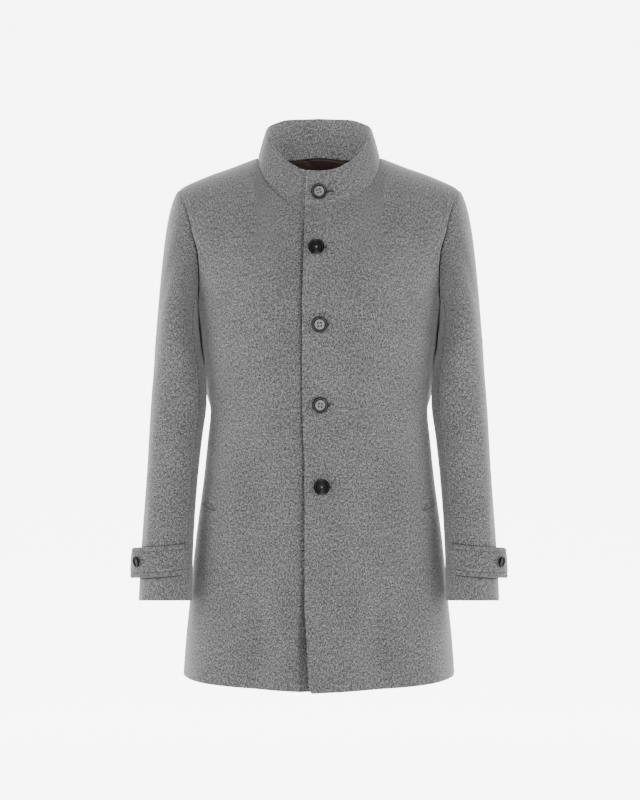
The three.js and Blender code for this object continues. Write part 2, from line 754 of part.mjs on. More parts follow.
// Turns a button's axis to the cloth's normal and sets its back on the cloth
function placeButton(geometry, p, normal, lift) {
  const turn = new THREE.Quaternion().setFromUnitVectors(new THREE.Vector3(0, 0, 1), normal);
  geometry.applyQuaternion(turn);
  const at = p.clone().addScaledVector(normal, lift);
  geometry.translate(at.x, at.y, at.z);
  geometry.computeVertexNormals();
  return geometry;
}

// The top button sits on the collar's upper end
function collarButtonSeat() {
  const height = 0.36;
  const p = collarPoint(1, height);
  const up = collarPoint(1, height + 0.1).sub(p);
  return { p, normal: new THREE.Vector3(0, -up.z, up.y).normalize() };
}

// The other front buttons sit on the upper front
function frontButtonSeat(x, z) {
  if (z > UNDERARM_Z) {
    const top = sample(SHOULDER, 'z', Math.abs(x));
    const rise = degrees(Math.asin((z - UNDERARM_Z) / (top - UNDERARM_Z)));
    const f = (u, v) => archPoint(u * 200, v * 90, -1);
    const p = f(x / 200, rise / 90);
    return { p, normal: normalOf(f, x / 200, rise / 90, innerPointOf(p)) };
  }
  const f = (u, v) => torsoPoint(u * 200, v * 1000, -1, 1);
  const p = f(x / 200, z / 1000);
  return { p, normal: normalOf(f, x / 200, z / 1000, innerPointOf(p)) };
}

function addFrontButtons() {
  const greyButtons = [0, 2, 3];
  BUTTON_PLACES.rows.forEach(([x, z], i) => {
    const seat = i === 0 ? collarButtonSeat() : frontButtonSeat(x, z);
    const look = greyButtons.includes(i) ? HORN_GREY : HORN_DARK;
    const geometry = placeButton(buttonGeometry(BUTTON_DIAMETER, 20), seat.p, seat.normal, BUTTON.lift);
    addPiece(`button_front_${i + 1}`, geometry, look);
  });
}

// The cuff button sits on the tab's free end and tips outward a little
const CUFF_BUTTON = { along: 0.815, up: 0.5, tip: 6 };

function addCuffButton(name, side) {
  const p = tabPoint(CUFF_BUTTON.along, CUFF_BUTTON.up, TAB_CLOTH);
  const ahead = tabPoint(CUFF_BUTTON.along + 0.01, CUFF_BUTTON.up, TAB_CLOTH).sub(p);
  const normal = new THREE.Vector3(ahead.y, -ahead.x, 0).normalize();
  normal.applyAxisAngle(new THREE.Vector3(0, 0, 1), radians(CUFF_BUTTON.tip));
  const geometry = placeButton(buttonGeometry(CUFF_BUTTON_DIAMETER, 14), mirrored(p, side),
    mirrored(normal, side), BUTTON.cuffLift);
  addPiece(name, geometry, HORN_DARK);
}

addPanel('front_left', FRONT_LEFT);
addPanel('front_right', FRONT_RIGHT);
addPanel('back', BACK);
addSleevePart('sleeve_left_top', 1, TOP_SLEEVE);
addSleevePart('sleeve_left_under', 1, UNDER_SLEEVE);
addSleevePart('sleeve_right_top', -1, TOP_SLEEVE);
addSleevePart('sleeve_right_under', -1, UNDER_SLEEVE);
addCollar();
addLining();
addPatch();
addTab('cuff_tab_left', 1);
addTab('cuff_tab_right', -1);
addWelt('pocket_welt_left', 1);
addWelt('pocket_welt_right', -1);
addFrontButtons();
addCuffButton('button_cuff_left', 1);
addCuffButton('button_cuff_right', -1);

export default group;
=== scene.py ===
"""A mid-thigh wool coat with a stand collar, filled out as if worn, dressed round its fixed frame."""
import logging
import math
from collections.abc import Callable
from dataclasses import dataclass, field
from enum import Enum

import bpy
import numpy as np
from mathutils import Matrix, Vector


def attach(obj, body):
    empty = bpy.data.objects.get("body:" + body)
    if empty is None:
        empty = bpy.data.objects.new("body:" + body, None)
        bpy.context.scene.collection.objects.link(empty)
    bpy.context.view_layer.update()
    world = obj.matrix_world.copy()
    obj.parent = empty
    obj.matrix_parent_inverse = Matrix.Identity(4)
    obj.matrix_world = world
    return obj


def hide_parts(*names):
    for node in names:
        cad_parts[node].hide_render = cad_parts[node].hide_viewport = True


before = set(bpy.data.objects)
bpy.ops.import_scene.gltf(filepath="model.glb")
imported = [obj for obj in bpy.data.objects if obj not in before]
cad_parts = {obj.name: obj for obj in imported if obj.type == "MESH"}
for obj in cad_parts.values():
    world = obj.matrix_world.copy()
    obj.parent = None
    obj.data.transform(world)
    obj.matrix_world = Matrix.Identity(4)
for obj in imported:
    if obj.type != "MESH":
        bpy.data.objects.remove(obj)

LOG = logging.getLogger("coat")
MM = 0.001
SurfacePoint = Callable[[float, float], np.ndarray]
SurfacePlace = Callable[[float, float], tuple[np.ndarray, np.ndarray]]
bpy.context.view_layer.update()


class Face(Enum):
    """Which side of the body a panel covers."""

    FRONT = -1
    BACK = 1


class Edge(Enum):
    """How far a panel's edge rounds out, as a share of half its thickness."""

    FREE = 1.0
    SEAM = 0.12


@dataclass(frozen=True)
class Table:
    """Named columns of sizes against a first column, read along a smooth curve."""

    columns: tuple[str, ...]
    rows: tuple[tuple[float, ...], ...]

    def at(self, name: str, where: np.ndarray | float) -> np.ndarray:
        """Reads a column, flat past its ends.

        Args:
            name: The column's name.
            where: Places along the first column.

        Returns:
            The column's values there.
        """
        grid = np.asarray(self.rows, dtype=float)
        keys, values = grid[:, 0], grid[:, self.columns.index(name)]
        spans = np.diff(keys)
        slopes = np.diff(values) / spans
        inner = slopes[:-1] * slopes[1:]
        mean = np.where(inner > 0, 2 * inner / np.where(inner > 0, slopes[:-1] + slopes[1:], 1), 0)
        ends = np.concatenate([slopes[:1], mean, slopes[-1:]])
        x = np.clip(np.asarray(where, dtype=float), keys[0], keys[-1])
        i = np.clip(np.searchsorted(keys, x, side="right") - 1, 0, len(spans) - 1)
        t = (x - keys[i]) / spans[i]
        u = 1 - t
        return (values[i] * u * u * (1 + 2 * t) + values[i + 1] * t * t * (3 - 2 * t)
                + spans[i] * (ends[i] * t * u * u - ends[i + 1] * t * t * u))


@dataclass(frozen=True)
class Crease:
    """A soft trough (minus) or ridge (plus) between two places on a piece, in millimetres."""

    x0: float
    z0: float
    x1: float
    z1: float
    width: float
    depth: float

    def relief(self, x: np.ndarray, z: np.ndarray) -> np.ndarray:
        """Gives the height of the crease at places on its piece.

        Args:
            x: Places across the piece.
            z: Places up the piece.

        Returns:
            The crease's height, fading out along it and at its ends.
        """
        dx, dz = self.x1 - self.x0, self.z1 - self.z0
        length = math.hypot(dx, dz)
        along = ((x - self.x0) * dx + (z - self.z0) * dz) / length
        away = ((x - self.x0) * dz - (z - self.z0) * dx) / length
        ends = np.clip(np.minimum(along, length - along) / (0.35 * length), -1, 1)
        taper = np.where(ends > 0, ends * ends * (3 - 2 * ends), 0)
        return self.depth * taper * np.exp(-((away / self.width) ** 2))


def smooth(value: np.ndarray, low: float, high: float) -> np.ndarray:
    """Steps smoothly from 0 at low to 1 at high."""
    t = np.clip((np.asarray(value, dtype=float) - low) / (high - low), 0, 1)
    return t * t * (3 - 2 * t)


def spread(count: int, edge_low: bool, edge_high: bool, reach: float) -> np.ndarray:
    """Places from 0 to 1, with extra ones close to the edges that need them.

    Args:
        count: Number of even steps.
        edge_low: Whether the low edge gets close places.
        edge_high: Whether the high edge gets close places.
        reach: One millimetre as a share of the whole length.

    Returns:
        Sorted places.
    """
    close = np.array([0.7, 1.5, 2.4, 3.5, 5.0]) * reach
    parts = [np.linspace(0, 1, count + 1)]
    if edge_low:
        parts.append(close)
    if edge_high:
        parts.append(1 - close)
    places = np.unique(np.concatenate(parts).round(6))
    keep = [places[0]]
    for place in places[1:]:
        if place - keep[-1] > 0.45 * reach:
            keep.append(place)
    keep[-1] = 1.0
    return np.array(keep)


def run_length(line: np.ndarray) -> np.ndarray:
    """Distance run at each point of a line."""
    return np.concatenate([[0], np.cumsum(np.linalg.norm(np.diff(line, axis=0), axis=1))])


@dataclass(frozen=True)
class CoatForm:
    """The coat's shape: torso, chest and shoulders, neck, sleeves. Sizes are in millimetres."""

    underarm_z: float = -235
    neck_half_width: float = 98
    shoulder_tip_x: float = 224.5
    corner_share: float = 3 / 7
    skirt_share: float = 4 / 7
    row_growth: float = 1.5
    squareness: float = 2.4
    front_arch: float = 1.25
    back_arch: float = 0.8
    back_neck_rise: float = 29
    neck_edge_z: float = -84
    bicep_z: float = -275
    cuff_z: float = -700
    cuff_tilt: float = 5
    cap_share: float = 0.4
    cap_out: float = 70
    cap_side: float = 30
    cap_drop: float = 0.36
    cap_gap: float = 0.3
    arrive_step: float = 8
    arch_steps: int = 96
    seam_rows: int = 12
    sleeve_squareness: float = 2.2
    body: Table = Table(("z", "half_width", "front", "back"), (
        (-840, 217.5, 151, 160), (-770, 212.5, 148, 157), (-710, 206.5, 145, 152), (-640, 200, 141, 146),
        (-580, 193, 138, 140), (-515, 184.3, 134, 133), (-450, 177.5, 131, 128), (-405, 173.3, 130, 126),
        (-375, 176, 131, 128), (-340, 179, 134, 131), (-300, 185.5, 137, 136), (-260, 189.5, 139, 139),
        (-235, 193, 140, 140)))
    arch: Table = Table(("rise", "half_width", "armhole_x"), (
        (0, 193, 193), (6, 198, 189), (12, 205.5, 188.5), (23, 218, 191), (34, 235, 199.5), (45, 245, 206),
        (54, 254, 211.5), (70, 264, 220), (90, 270, 224.5)))
    shoulder: Table = Table(("x", "z"), (
        (0, 14), (50, 9), (98, 0), (115, -6), (141, -16), (170, -26), (192, -35), (214, -45), (225, -52)))
    neck_front: Table = Table(("angle", "rise"), (
        (0, 37.9), (14, 38.4), (29, 40.6), (45, 46), (62.5, 55), (78, 69), (90, 90)))
    neck_back: Table = Table(("angle", "rise"), ((90, 90), (108, 80), (134, 70), (160, 63), (180, 62)))
    front_edge: Table = Table(("z", "x"), (
        (-840, -10), (-822, -14.2), (-750, -18), (-704, -20.8), (-566, -20.8), (-483, -21.7), (-400, -24.1),
        (-250, -24.8), (-163, -23.5), (-84, -20)))
    sleeve: Table = Table(("z", "outer", "inner", "centre_y", "half_depth"), (
        (-705, 282.4, 198.6, -73, 50), (-640, 280, 198.2, -62, 51), (-580, 277, 196.2, -51, 53),
        (-515, 273, 192, -39, 55), (-450, 269.8, 185.5, -31, 58), (-387, 266.5, 178.5, -23, 63),
        (-336, 262.5, 182.5, -18, 70), (-300, 260.5, 188.5, -15, 76), (-275, 258.5, 191, -14, 78)))
    hem: Table = Table(("angle", "z"), (
        (-10, -835), (12, -832), (50, -826), (90, -822), (135, -824), (180, -826)))
    folds: Table = Table(("angle", "spread", "top", "bottom", "depth"), (
        (32, 13, -560, -850, -4), (55, 12, -520, -850, 4.5), (-36, 12, -590, -850, -4.5),
        (-60, 12, -540, -850, 4), (118, 14, -500, -850, 5), (146, 13, -540, -850, -4.5),
        (-122, 13, -520, -850, 5), (-150, 14, -560, -850, -4)))

    def oval(self, x: np.ndarray, half_width: np.ndarray, depth: np.ndarray) -> np.ndarray:
        """Depth of the body's squarish oval at a distance from the centre line."""
        share = np.minimum(1, np.abs(x / half_width))
        return depth * (1 - share ** self.squareness) ** (1 / self.squareness)

    def fold_depth(self, x: np.ndarray, y: np.ndarray, z: np.ndarray) -> np.ndarray:
        """Largest drape folds of the skirt, which grow towards the hem.

        Args:
            x: Distances to the wearer's left.
            y: Distances behind the middle.
            z: Levels.

        Returns:
            How far each place is pushed outward.
        """
        angle = np.degrees(np.arctan2(x, -y))
        depth = np.zeros_like(z)
        for at, reach, top, bottom, amount in self.folds.rows:
            away = np.abs(angle - at)
            away = np.minimum(away, 360 - away) / reach
            grow = np.clip((top - z) / (top - bottom), 0, None)
            depth += np.where(away < 2.5, amount * grow * np.exp(-away * away), 0)
        return depth

    def torso(self, x: np.ndarray, z: np.ndarray, face: Face, side: int) -> np.ndarray:
        """Points of the body below the underarm.

        Args:
            x: Distance from the centre line, towards the side seam.
            z: Level.
            face: Front or back.
            side: 1 on the wearer's left, -1 on the right.

        Returns:
            Points, made for the wearer's left.
        """
        column = "front" if face is Face.FRONT else "back"
        y = face.value * self.oval(x, self.body.at("half_width", z), self.body.at(column, z))
        push = 1 + self.fold_depth(side * x, y, z) / np.hypot(x, y)
        return np.stack([x * push, y * push, z + 0 * x], axis=-1)

    def chest(self, x: np.ndarray, rise: np.ndarray, face: Face) -> np.ndarray:
        """Points of the chest, upper back and shoulders; rise is 0 at the underarm and 90 at the seam.

        Args:
            x: Distances from the centre line.
            rise: Rises in degrees.
            face: Front or back.

        Returns:
            Points, made for the wearer's left.
        """
        angle = np.radians(rise)
        power = self.front_arch if face is Face.FRONT else self.back_arch
        column = "front" if face is Face.FRONT else "back"
        depth = self.body.at(column, self.underarm_z)
        bow = np.clip(np.cos(angle), 0, 1) ** power
        in_neck = np.minimum(1, np.abs(x) / self.neck_half_width)
        lift = self.back_neck_rise * (1 - in_neck ** 2) if face is Face.BACK else 0
        top = self.shoulder.at("z", np.abs(x)) + lift
        z = self.underarm_z + (top - self.underarm_z) * np.sin(angle)
        y = face.value * bow * self.oval(x, self.arch.at("half_width", rise), depth)
        return np.stack([x + 0 * y, y, z], axis=-1)

    def neckline_rise(self, angle: np.ndarray, face: Face) -> np.ndarray:
        """How far up the chest or back the neck seam lies, at an angle round the neck.

        Args:
            angle: Angles in degrees.
            face: Front or back.

        Returns:
            Rises in degrees.
        """
        if face is Face.FRONT:
            return self.neck_front.at("rise", np.abs(angle))
        return self.neck_back.at("rise", angle)

    def width_at(self, across: np.ndarray, edge: np.ndarray, z: np.ndarray) -> np.ndarray:
        """Distance from the centre line at a share of the way to the side seam.

        Args:
            across: Shares of the way.
            edge: Where the panel starts.
            z: Levels.

        Returns:
            Distances from the centre line.
        """
        half_width = self.body.at("half_width", z)
        start = np.arcsin(edge / half_width)
        return half_width * np.sin(start + (math.pi / 2 - start) * across)

    def half_panel(self, across: np.ndarray, up: np.ndarray, face: Face, side: int) -> np.ndarray:
        """Points of half the body on one face.

        Args:
            across: 0 at the centre or front edge, 1 at the side seam and armhole.
            up: 0 at the hem, skirt_share at the underarm, 1 at the neck and shoulder.
            face: Front or back.
            side: 1 on the wearer's left, -1 on the right.

        Returns:
            Points, made for the wearer's left.
        """
        across, up = np.broadcast_arrays(across, up)
        start, end = (-10, 90) if face is Face.FRONT else (180, 90)
        hem = self.hem.at("z", start + (end - start) * across)
        low = np.clip(up / self.skirt_share, 0, 1)
        z = hem + (self.underarm_z - hem) * low
        edge = self.front_edge.at("x", z) if face is Face.FRONT else 0 * z
        skirt = self.torso(self.width_at(across, edge, z), z, face, side)
        high = np.clip((up - self.skirt_share) / (1 - self.skirt_share), 0, 1)
        x, rise = self.chest_place(across, high, face)
        chest = self.chest(x, rise, face)
        return np.where((up <= self.skirt_share)[..., None], skirt, chest)

    def chest_place(self, across: np.ndarray, up: np.ndarray, face: Face) -> tuple[np.ndarray, np.ndarray]:
        """Spreads a half panel between its front edge, neckline, shoulder and armhole.

        Args:
            across: Shares from the front edge to the armhole.
            up: Shares from the underarm's level to the top.
            face: Front or back.

        Returns:
            Distances from the centre line, and rises.
        """
        front = face is Face.FRONT
        bottom_x = float(self.front_edge.at("x", self.underarm_z)) if front else 0.0
        top_x = float(self.front_edge.at("x", self.neck_edge_z)) if front else 0.0
        first = math.degrees(math.asin(top_x / self.neck_half_width)) if front else 180.0

        def top(s: np.ndarray) -> np.ndarray:
            """Neckline, then shoulder seam."""
            angle = first + (90 - first) * np.clip(s / self.corner_share, 0, 1)
            neck = np.stack([self.neck_half_width * np.sin(np.radians(angle)),
                             self.neckline_rise(angle, face)], axis=-1)
            share = np.clip((s - self.corner_share) / (1 - self.corner_share), 0, 1)
            seam_x = self.neck_half_width + (self.shoulder_tip_x - self.neck_half_width) * share
            seam = np.stack([seam_x, 90 + 0 * seam_x], axis=-1)
            return np.where((s > self.corner_share)[..., None], seam, neck)

        def bottom(s: np.ndarray) -> np.ndarray:
            """The line at the underarm's level."""
            return np.stack([self.width_at(s, bottom_x, self.underarm_z + 0 * s), 0 * s], axis=-1)

        def armhole(t: np.ndarray) -> np.ndarray:
            """The armhole's edge."""
            rise = 90 * t ** self.row_growth
            return np.stack([self.arch.at("armhole_x", rise), rise], axis=-1)

        zero, one = np.zeros_like(across), np.ones_like(across)
        edge_top = top(zero)[..., 1]
        centre = np.stack([bottom_x + (top_x - bottom_x) * up, edge_top * up], axis=-1)
        s, t = across[..., None], up[..., None]
        corners = ((1 - s) * (1 - t) * bottom(zero) + s * (1 - t) * armhole(zero)
                   + (1 - s) * t * top(zero) + s * t * top(one))
        place = (1 - s) * centre + s * armhole(up) + (1 - t) * bottom(across) + t * top(across) - corners
        return place[..., 0], place[..., 1]

    def armhole(self, angle: np.ndarray) -> np.ndarray:
        """Points of the armhole: 0 at the shoulder tip, 90 at the back, 180 underneath, 270 in front.

        Args:
            angle: Angles in degrees.

        Returns:
            Points on the wearer's left.
        """
        rise = 90 * (np.arange(self.arch_steps + 1) / self.arch_steps) ** self.row_growth
        x = self.arch.at("armhole_x", rise)
        front = self.chest(x, rise, Face.FRONT)
        back = self.chest(x, rise, Face.BACK)
        line = np.concatenate([back[::-1], front[1:]])
        run = run_length(line)
        half, whole = run[self.arch_steps], run[-1]
        angles = np.where(run <= half, 180 * run / half, 180 + 180 * (run - half) / (whole - half))
        return np.stack([np.interp(angle, angles, line[:, k]) for k in range(3)], axis=-1)

    def sleeve_ring(self, angle: np.ndarray, z: np.ndarray) -> np.ndarray:
        """Points of the sleeve below the bicep, at an angle round it.

        Args:
            angle: Angles in degrees.
            z: Levels.

        Returns:
            Points on the wearer's left.
        """
        outer, inner = self.sleeve.at("outer", z), self.sleeve.at("inner", z)
        c, s = np.cos(np.radians(angle)), np.sin(np.radians(angle))
        power = 2 / self.sleeve_squareness
        x = (outer + inner) / 2 + (outer - inner) / 2 * np.sign(c) * np.abs(c) ** power
        y = self.sleeve.at("centre_y", z) + self.sleeve.at("half_depth", z) * np.sign(s) * np.abs(s) ** power
        return np.stack([x, y, z + 0 * x], axis=-1)

    def sleeve_point(self, angle: np.ndarray, down: np.ndarray) -> np.ndarray:
        """Points of the whole sleeve: down is 0 at the armhole, cap_share at the bicep, 1 at the cuff.

        Args:
            angle: Angles in degrees.
            down: Shares of the way down.

        Returns:
            Points on the wearer's left.
        """
        angle, down = np.broadcast_arrays(angle, down)
        below = np.clip((down - self.cap_share) / (1 - self.cap_share), 0, 1)
        cuff = self.cuff_z - self.cuff_tilt * np.sin(np.radians(angle))
        tube = self.sleeve_ring(angle, self.bicep_z + (cuff - self.bicep_z) * below)
        start = self.armhole(angle) + np.array([self.cap_gap, 0, 0])
        end = self.sleeve_ring(angle, self.bicep_z + 0 * angle)
        drop = (start - end)[..., 2]
        high = (1 + np.cos(np.radians(angle))) / 2
        leave = np.stack([self.cap_out * (1 - (1 - high) ** 3), self.cap_side * np.sin(np.radians(angle)),
                          -(1 + (self.cap_drop - 1) * high) * drop], axis=-1)
        lower = self.sleeve_ring(angle, self.bicep_z - self.arrive_step + 0 * angle)
        arrive = (lower - end) * (drop / self.arrive_step)[..., None]
        t = np.clip(down / self.cap_share, 0, 1)[..., None]
        u = 1 - t
        cap = (start * u * u * (1 + 2 * t) + end * t * t * (3 - 2 * t)
               + leave * t * u * u - arrive * t * t * u)
        return np.where((down >= self.cap_share)[..., None], tube, cap)

    def seam_angle(self, rows: int) -> float:
        """Angle of the armhole point that lies some of the cut's rows above the underarm.

        Args:
            rows: Rows above the underarm, minus at the back.

        Returns:
            The angle in degrees.
        """
        rise = 90 * (np.arange(self.arch_steps + 1) / self.arch_steps) ** self.row_growth
        face = Face.FRONT if rows > 0 else Face.BACK
        run = run_length(self.chest(self.arch.at("armhole_x", rise), rise, face))
        share = run[abs(rows) * self.arch_steps // self.seam_rows] / run[-1]
        return 180 + math.copysign(180 * share, rows)


FORM = CoatForm()


def grid_normals(points: np.ndarray, inner: np.ndarray) -> np.ndarray:
    """Unit normals of a grid of points, turned away from points inside it.

    Args:
        points: The grid.
        inner: Points inside it.

    Returns:
        One unit normal a point.
    """
    along = np.gradient(points, axis=1, edge_order=2)
    up = np.gradient(points, axis=0, edge_order=2)
    normals = np.cross(along, up)
    normals /= np.maximum(np.linalg.norm(normals, axis=-1, keepdims=True), 1e-12)
    facing = np.sign(np.sum(normals * (points - inner), axis=-1).sum())
    return normals * facing


@dataclass
class ClothShell:
    """A closed wall of cloth on a grid of outer points, with rounded rims and its own UV map."""

    name: str
    points: np.ndarray
    normals: np.ndarray
    thickness: float
    edges: tuple[Edge, Edge, Edge, Edge] = (Edge.FREE, Edge.FREE, Edge.FREE, Edge.FREE)
    seam_roll: float = 1.1
    roll_width: float = 4.0
    free_roll: float = 0.35
    deepest_roll: float = 1.6
    laid_from_end: bool = False

    def distances(self) -> tuple[np.ndarray, np.ndarray, np.ndarray, np.ndarray]:
        """Distances in millimetres of every point from the low, high, left and right edges.

        Returns:
            Four grids of distances.
        """
        across = np.linalg.norm(np.diff(self.points, axis=1), axis=-1)
        up = np.linalg.norm(np.diff(self.points, axis=0), axis=-1)
        left = np.concatenate([np.zeros((len(across), 1)), np.cumsum(across, axis=1)], axis=1)
        low = np.concatenate([np.zeros((1, up.shape[1])), np.cumsum(up, axis=0)], axis=0)
        return low, low[-1:] - low, left, left[:, -1:] - left

    def rolled(self) -> np.ndarray:
        """Turns the cloth down a little where it runs into a seam or over an edge.

        Returns:
            The outer points, turned down at the edges.
        """
        drop = np.zeros(self.points.shape[:2])
        for away, edge in zip(self.distances(), self.edges):
            depth = self.seam_roll if edge is Edge.SEAM else self.free_roll
            drop += depth * np.exp(-((away / (self.roll_width * 0.45)) ** 2))
        return self.points - self.normals * np.minimum(drop, self.deepest_roll)[..., None]

    def border(self) -> tuple[list[tuple[int, int]], list[float]]:
        """The grid's border in order, with how far each place's rim rounds out.

        Returns:
            Places as row and column, and their rounding.
        """
        rows, columns = self.points.shape[:2]
        low, high, left, right = (edge.value for edge in self.edges)
        loop = [((0, c), low) for c in range(columns - 1)]
        loop += [((r, columns - 1), right) for r in range(rows - 1)]
        loop += [((rows - 1, c), high) for c in range(columns - 1, 0, -1)]
        loop += [((r, 0), left) for r in range(rows - 1, 0, -1)]
        return [place for place, _ in loop], [bulge for _, bulge in loop]

    def build(self) -> bpy.types.Object:
        """Builds the closed mesh.

        Returns:
            The new object, at the origin, in metres.
        """
        outer = self.rolled()
        inner = self.points - self.normals * self.thickness
        rows, columns = outer.shape[:2]
        count = rows * columns
        index = np.arange(count).reshape(rows, columns)
        a, b, c, d = index[:-1, :-1], index[:-1, 1:], index[1:, 1:], index[1:, :-1]
        quads = np.stack([a, b, c, d], axis=-1).reshape(-1, 4)
        flip = np.cross(outer[0, 1] - outer[0, 0], outer[1, 0] - outer[0, 0]) @ self.normals[0, 0] < 0
        if flip:
            quads = quads[:, ::-1]
        faces = quads.tolist() + (quads[:, ::-1] + count).tolist()
        places, bulges = self.border()
        ids = [index[place] for place in places]
        out_dirs = self.leaving(places)
        vertices = [outer.reshape(-1, 3), inner.reshape(-1, 3)]
        rings = [ids]
        flat_outer, flat_inner = outer.reshape(-1, 3)[ids], inner.reshape(-1, 3)[ids]
        reach = np.linalg.norm(flat_outer - flat_inner, axis=1)[:, None] / 2
        centre = (flat_outer + flat_inner) / 2
        axis = (flat_outer - flat_inner) / (2 * reach)
        base = 2 * count
        for turn in (45, 90, 135):
            swing = math.radians(turn)
            ring = centre + reach * (math.cos(swing) * axis
                                     + math.sin(swing) * np.array(bulges)[:, None] * out_dirs)
            vertices.append(ring)
            rings.append(list(range(base, base + len(ids))))
            base += len(ids)
        rings.append([i + count for i in ids])
        total = len(ids)
        for near, far in zip(rings[:-1], rings[1:]):
            for k in range(total):
                after = (k + 1) % total
                quad = [near[k], far[k], far[after], near[after]]
                faces.append(quad[::-1] if flip else quad)
        mesh = bpy.data.meshes.new(self.name)
        mesh.from_pydata((np.concatenate(vertices) * MM).tolist(), [], faces)
        self.add_uv(mesh, ids, total)
        mesh.shade_smooth()
        mesh.validate()
        obj = bpy.data.objects.new(self.name, mesh)
        bpy.context.scene.collection.objects.link(obj)
        return obj

    def leaving(self, places: list[tuple[int, int]]) -> np.ndarray:
        """Unit directions that leave the grid along its surface, at its border.

        Args:
            places: The border's places.

        Returns:
            One direction a place.
        """
        rows, columns = self.points.shape[:2]
        out = []
        for r, c in places:
            inside = (min(max(r, 1), rows - 2), min(max(c, 1), columns - 2))
            step = self.points[r, c] - self.points[inside]
            step = step - self.normals[r, c] * (step @ self.normals[r, c])
            out.append(step / max(np.linalg.norm(step), 1e-9))
        return np.array(out)

    def add_uv(self, mesh: bpy.types.Mesh, ids: list[int], total: int) -> None:
        """Lays the cloth flat in a UV map that reads in metres.

        Args:
            mesh: The cloth's mesh.
            ids: The border's vertices in order.
            total: How many they are.
        """
        low, high, left, right = self.distances()
        middle = (left[:, -1:] / 2)
        u = (left - middle + middle.mean()) * MM
        v = (-high if self.laid_from_end else low) * MM
        flat = np.stack([u, v], axis=-1).reshape(-1, 2)
        rim = flat[ids]
        table = np.concatenate([flat, flat, rim, rim, rim])
        layer = mesh.uv_layers.new(name="Cloth")
        loops = np.empty(len(mesh.loops), dtype=np.int32)
        mesh.loops.foreach_get("vertex_index", loops)
        layer.data.foreach_set("uv", table[loops].astype(np.float32).ravel())


def grey(level: float) -> tuple[float, float, float]:
    """A neutral colour."""
    return (level, level, level)


class Socket:
    """A node's output socket on which arithmetic adds Math nodes."""

    def __init__(self, shader: "Shader", output: bpy.types.NodeSocket) -> None:
        """Keeps the shader and its socket."""
        self.shader = shader
        self.output = output

    def _math(self, operation: str, first: "Socket | float", second: "Socket | float") -> "Socket":
        """Adds one Math node."""
        return self.shader.node("ShaderNodeMath", {"operation": operation}, {0: first, 1: second})

    def __add__(self, other: "Socket | float") -> "Socket":
        """Adds."""
        return self._math("ADD", self, other)

    def __mul__(self, other: "Socket | float") -> "Socket":
        """Multiplies."""
        return self._math("MULTIPLY", self, other)


class Shader:
    """A material's node tree, with its Principled shader."""

    def __init__(self, name: str) -> None:
        """Makes an empty material with a Principled shader and an output.

        Args:
            name: The material's name.
        """
        self.material = bpy.data.materials.new(name)
        self.material.use_nodes = True
        self.tree = self.material.node_tree
        self.tree.nodes.clear()
        self.principled = self.tree.nodes.new("ShaderNodeBsdfPrincipled")
        out = self.tree.nodes.new("ShaderNodeOutputMaterial")
        self.tree.links.new(self.principled.outputs[0], out.inputs[0])

    def node(self, kind: str, settings: dict, inputs: dict, output: int | str = 0) -> Socket:
        """Adds a node.

        Args:
            kind: The node's type.
            settings: Its properties, with "stops" for a ramp's (place, grey) pairs.
            inputs: Values or sockets by input index or name.
            output: Which output to give back.

        Returns:
            The chosen output.
        """
        node = self.tree.nodes.new(kind)
        for key, value in settings.items():
            if key == "stops":
                ramp = node.color_ramp
                while len(ramp.elements) < len(value):
                    ramp.elements.new(0.5)
                for element, (place, colour) in zip(ramp.elements, value):
                    element.position = place
                    element.color = (*colour, 1)
            else:
                setattr(node, key, value)
        for key, value in inputs.items():
            if isinstance(value, Socket):
                self.tree.links.new(value.output, node.inputs[key])
            else:
                node.inputs[key].default_value = value
        return Socket(self, node.outputs[output])

    def set(self, **values: float | tuple) -> None:
        """Sets constants on the Principled shader; underscores stand for spaces."""
        for key, value in values.items():
            self.principled.inputs[key.replace("_", " ")].default_value = value

    def link(self, name: str, source: Socket) -> None:
        """Links a socket to an input of the Principled shader."""
        self.tree.links.new(source.output, self.principled.inputs[name])

    def uv(self, stretch: tuple[float, float, float] = (1, 1, 1)) -> Socket:
        """The cloth's own UV map, stretched."""
        source = self.node("ShaderNodeUVMap", {"uv_map": "Cloth"}, {})
        return self.node("ShaderNodeMapping", {}, {"Vector": source, "Scale": stretch})

    def place(self) -> Socket:
        """Object coordinates."""
        return self.node("ShaderNodeTexCoord", {}, {}, "Object")

    def noise(self, vector: Socket, scale: float, detail: float, roughness: float) -> Socket:
        """A noise texture's value."""
        return self.node("ShaderNodeTexNoise", {}, {
            "Vector": vector, "Scale": scale, "Detail": detail, "Roughness": roughness})

    def ramp(self, factor: Socket, stops: list[tuple[float, tuple[float, float, float]]]) -> Socket:
        """Colours along a ramp."""
        return self.node("ShaderNodeValToRGB", {"stops": stops}, {"Fac": factor})

    def mix(self, factor: Socket | float, first: Socket | tuple, second: Socket | tuple,
            blend: str = "MIX") -> Socket:
        """Mixes two colours.

        Args:
            factor: How much of the second.
            first: First colour.
            second: Second colour.
            blend: How they are blended.

        Returns:
            The mixed colour.
        """
        settings = {"data_type": "RGBA", "blend_type": blend}
        colours = [c if isinstance(c, Socket) else (*c, 1) for c in (first, second)]
        return self.node("ShaderNodeMix", settings, {0: factor, 6: colours[0], 7: colours[1]}, 2)

    def bump(self, height: Socket, strength: float, distance: float) -> None:
        """Feeds a height into the shader's normal."""
        self.link("Normal", self.node("ShaderNodeBump", {}, {
            "Height": height, "Strength": strength, "Distance": distance}))


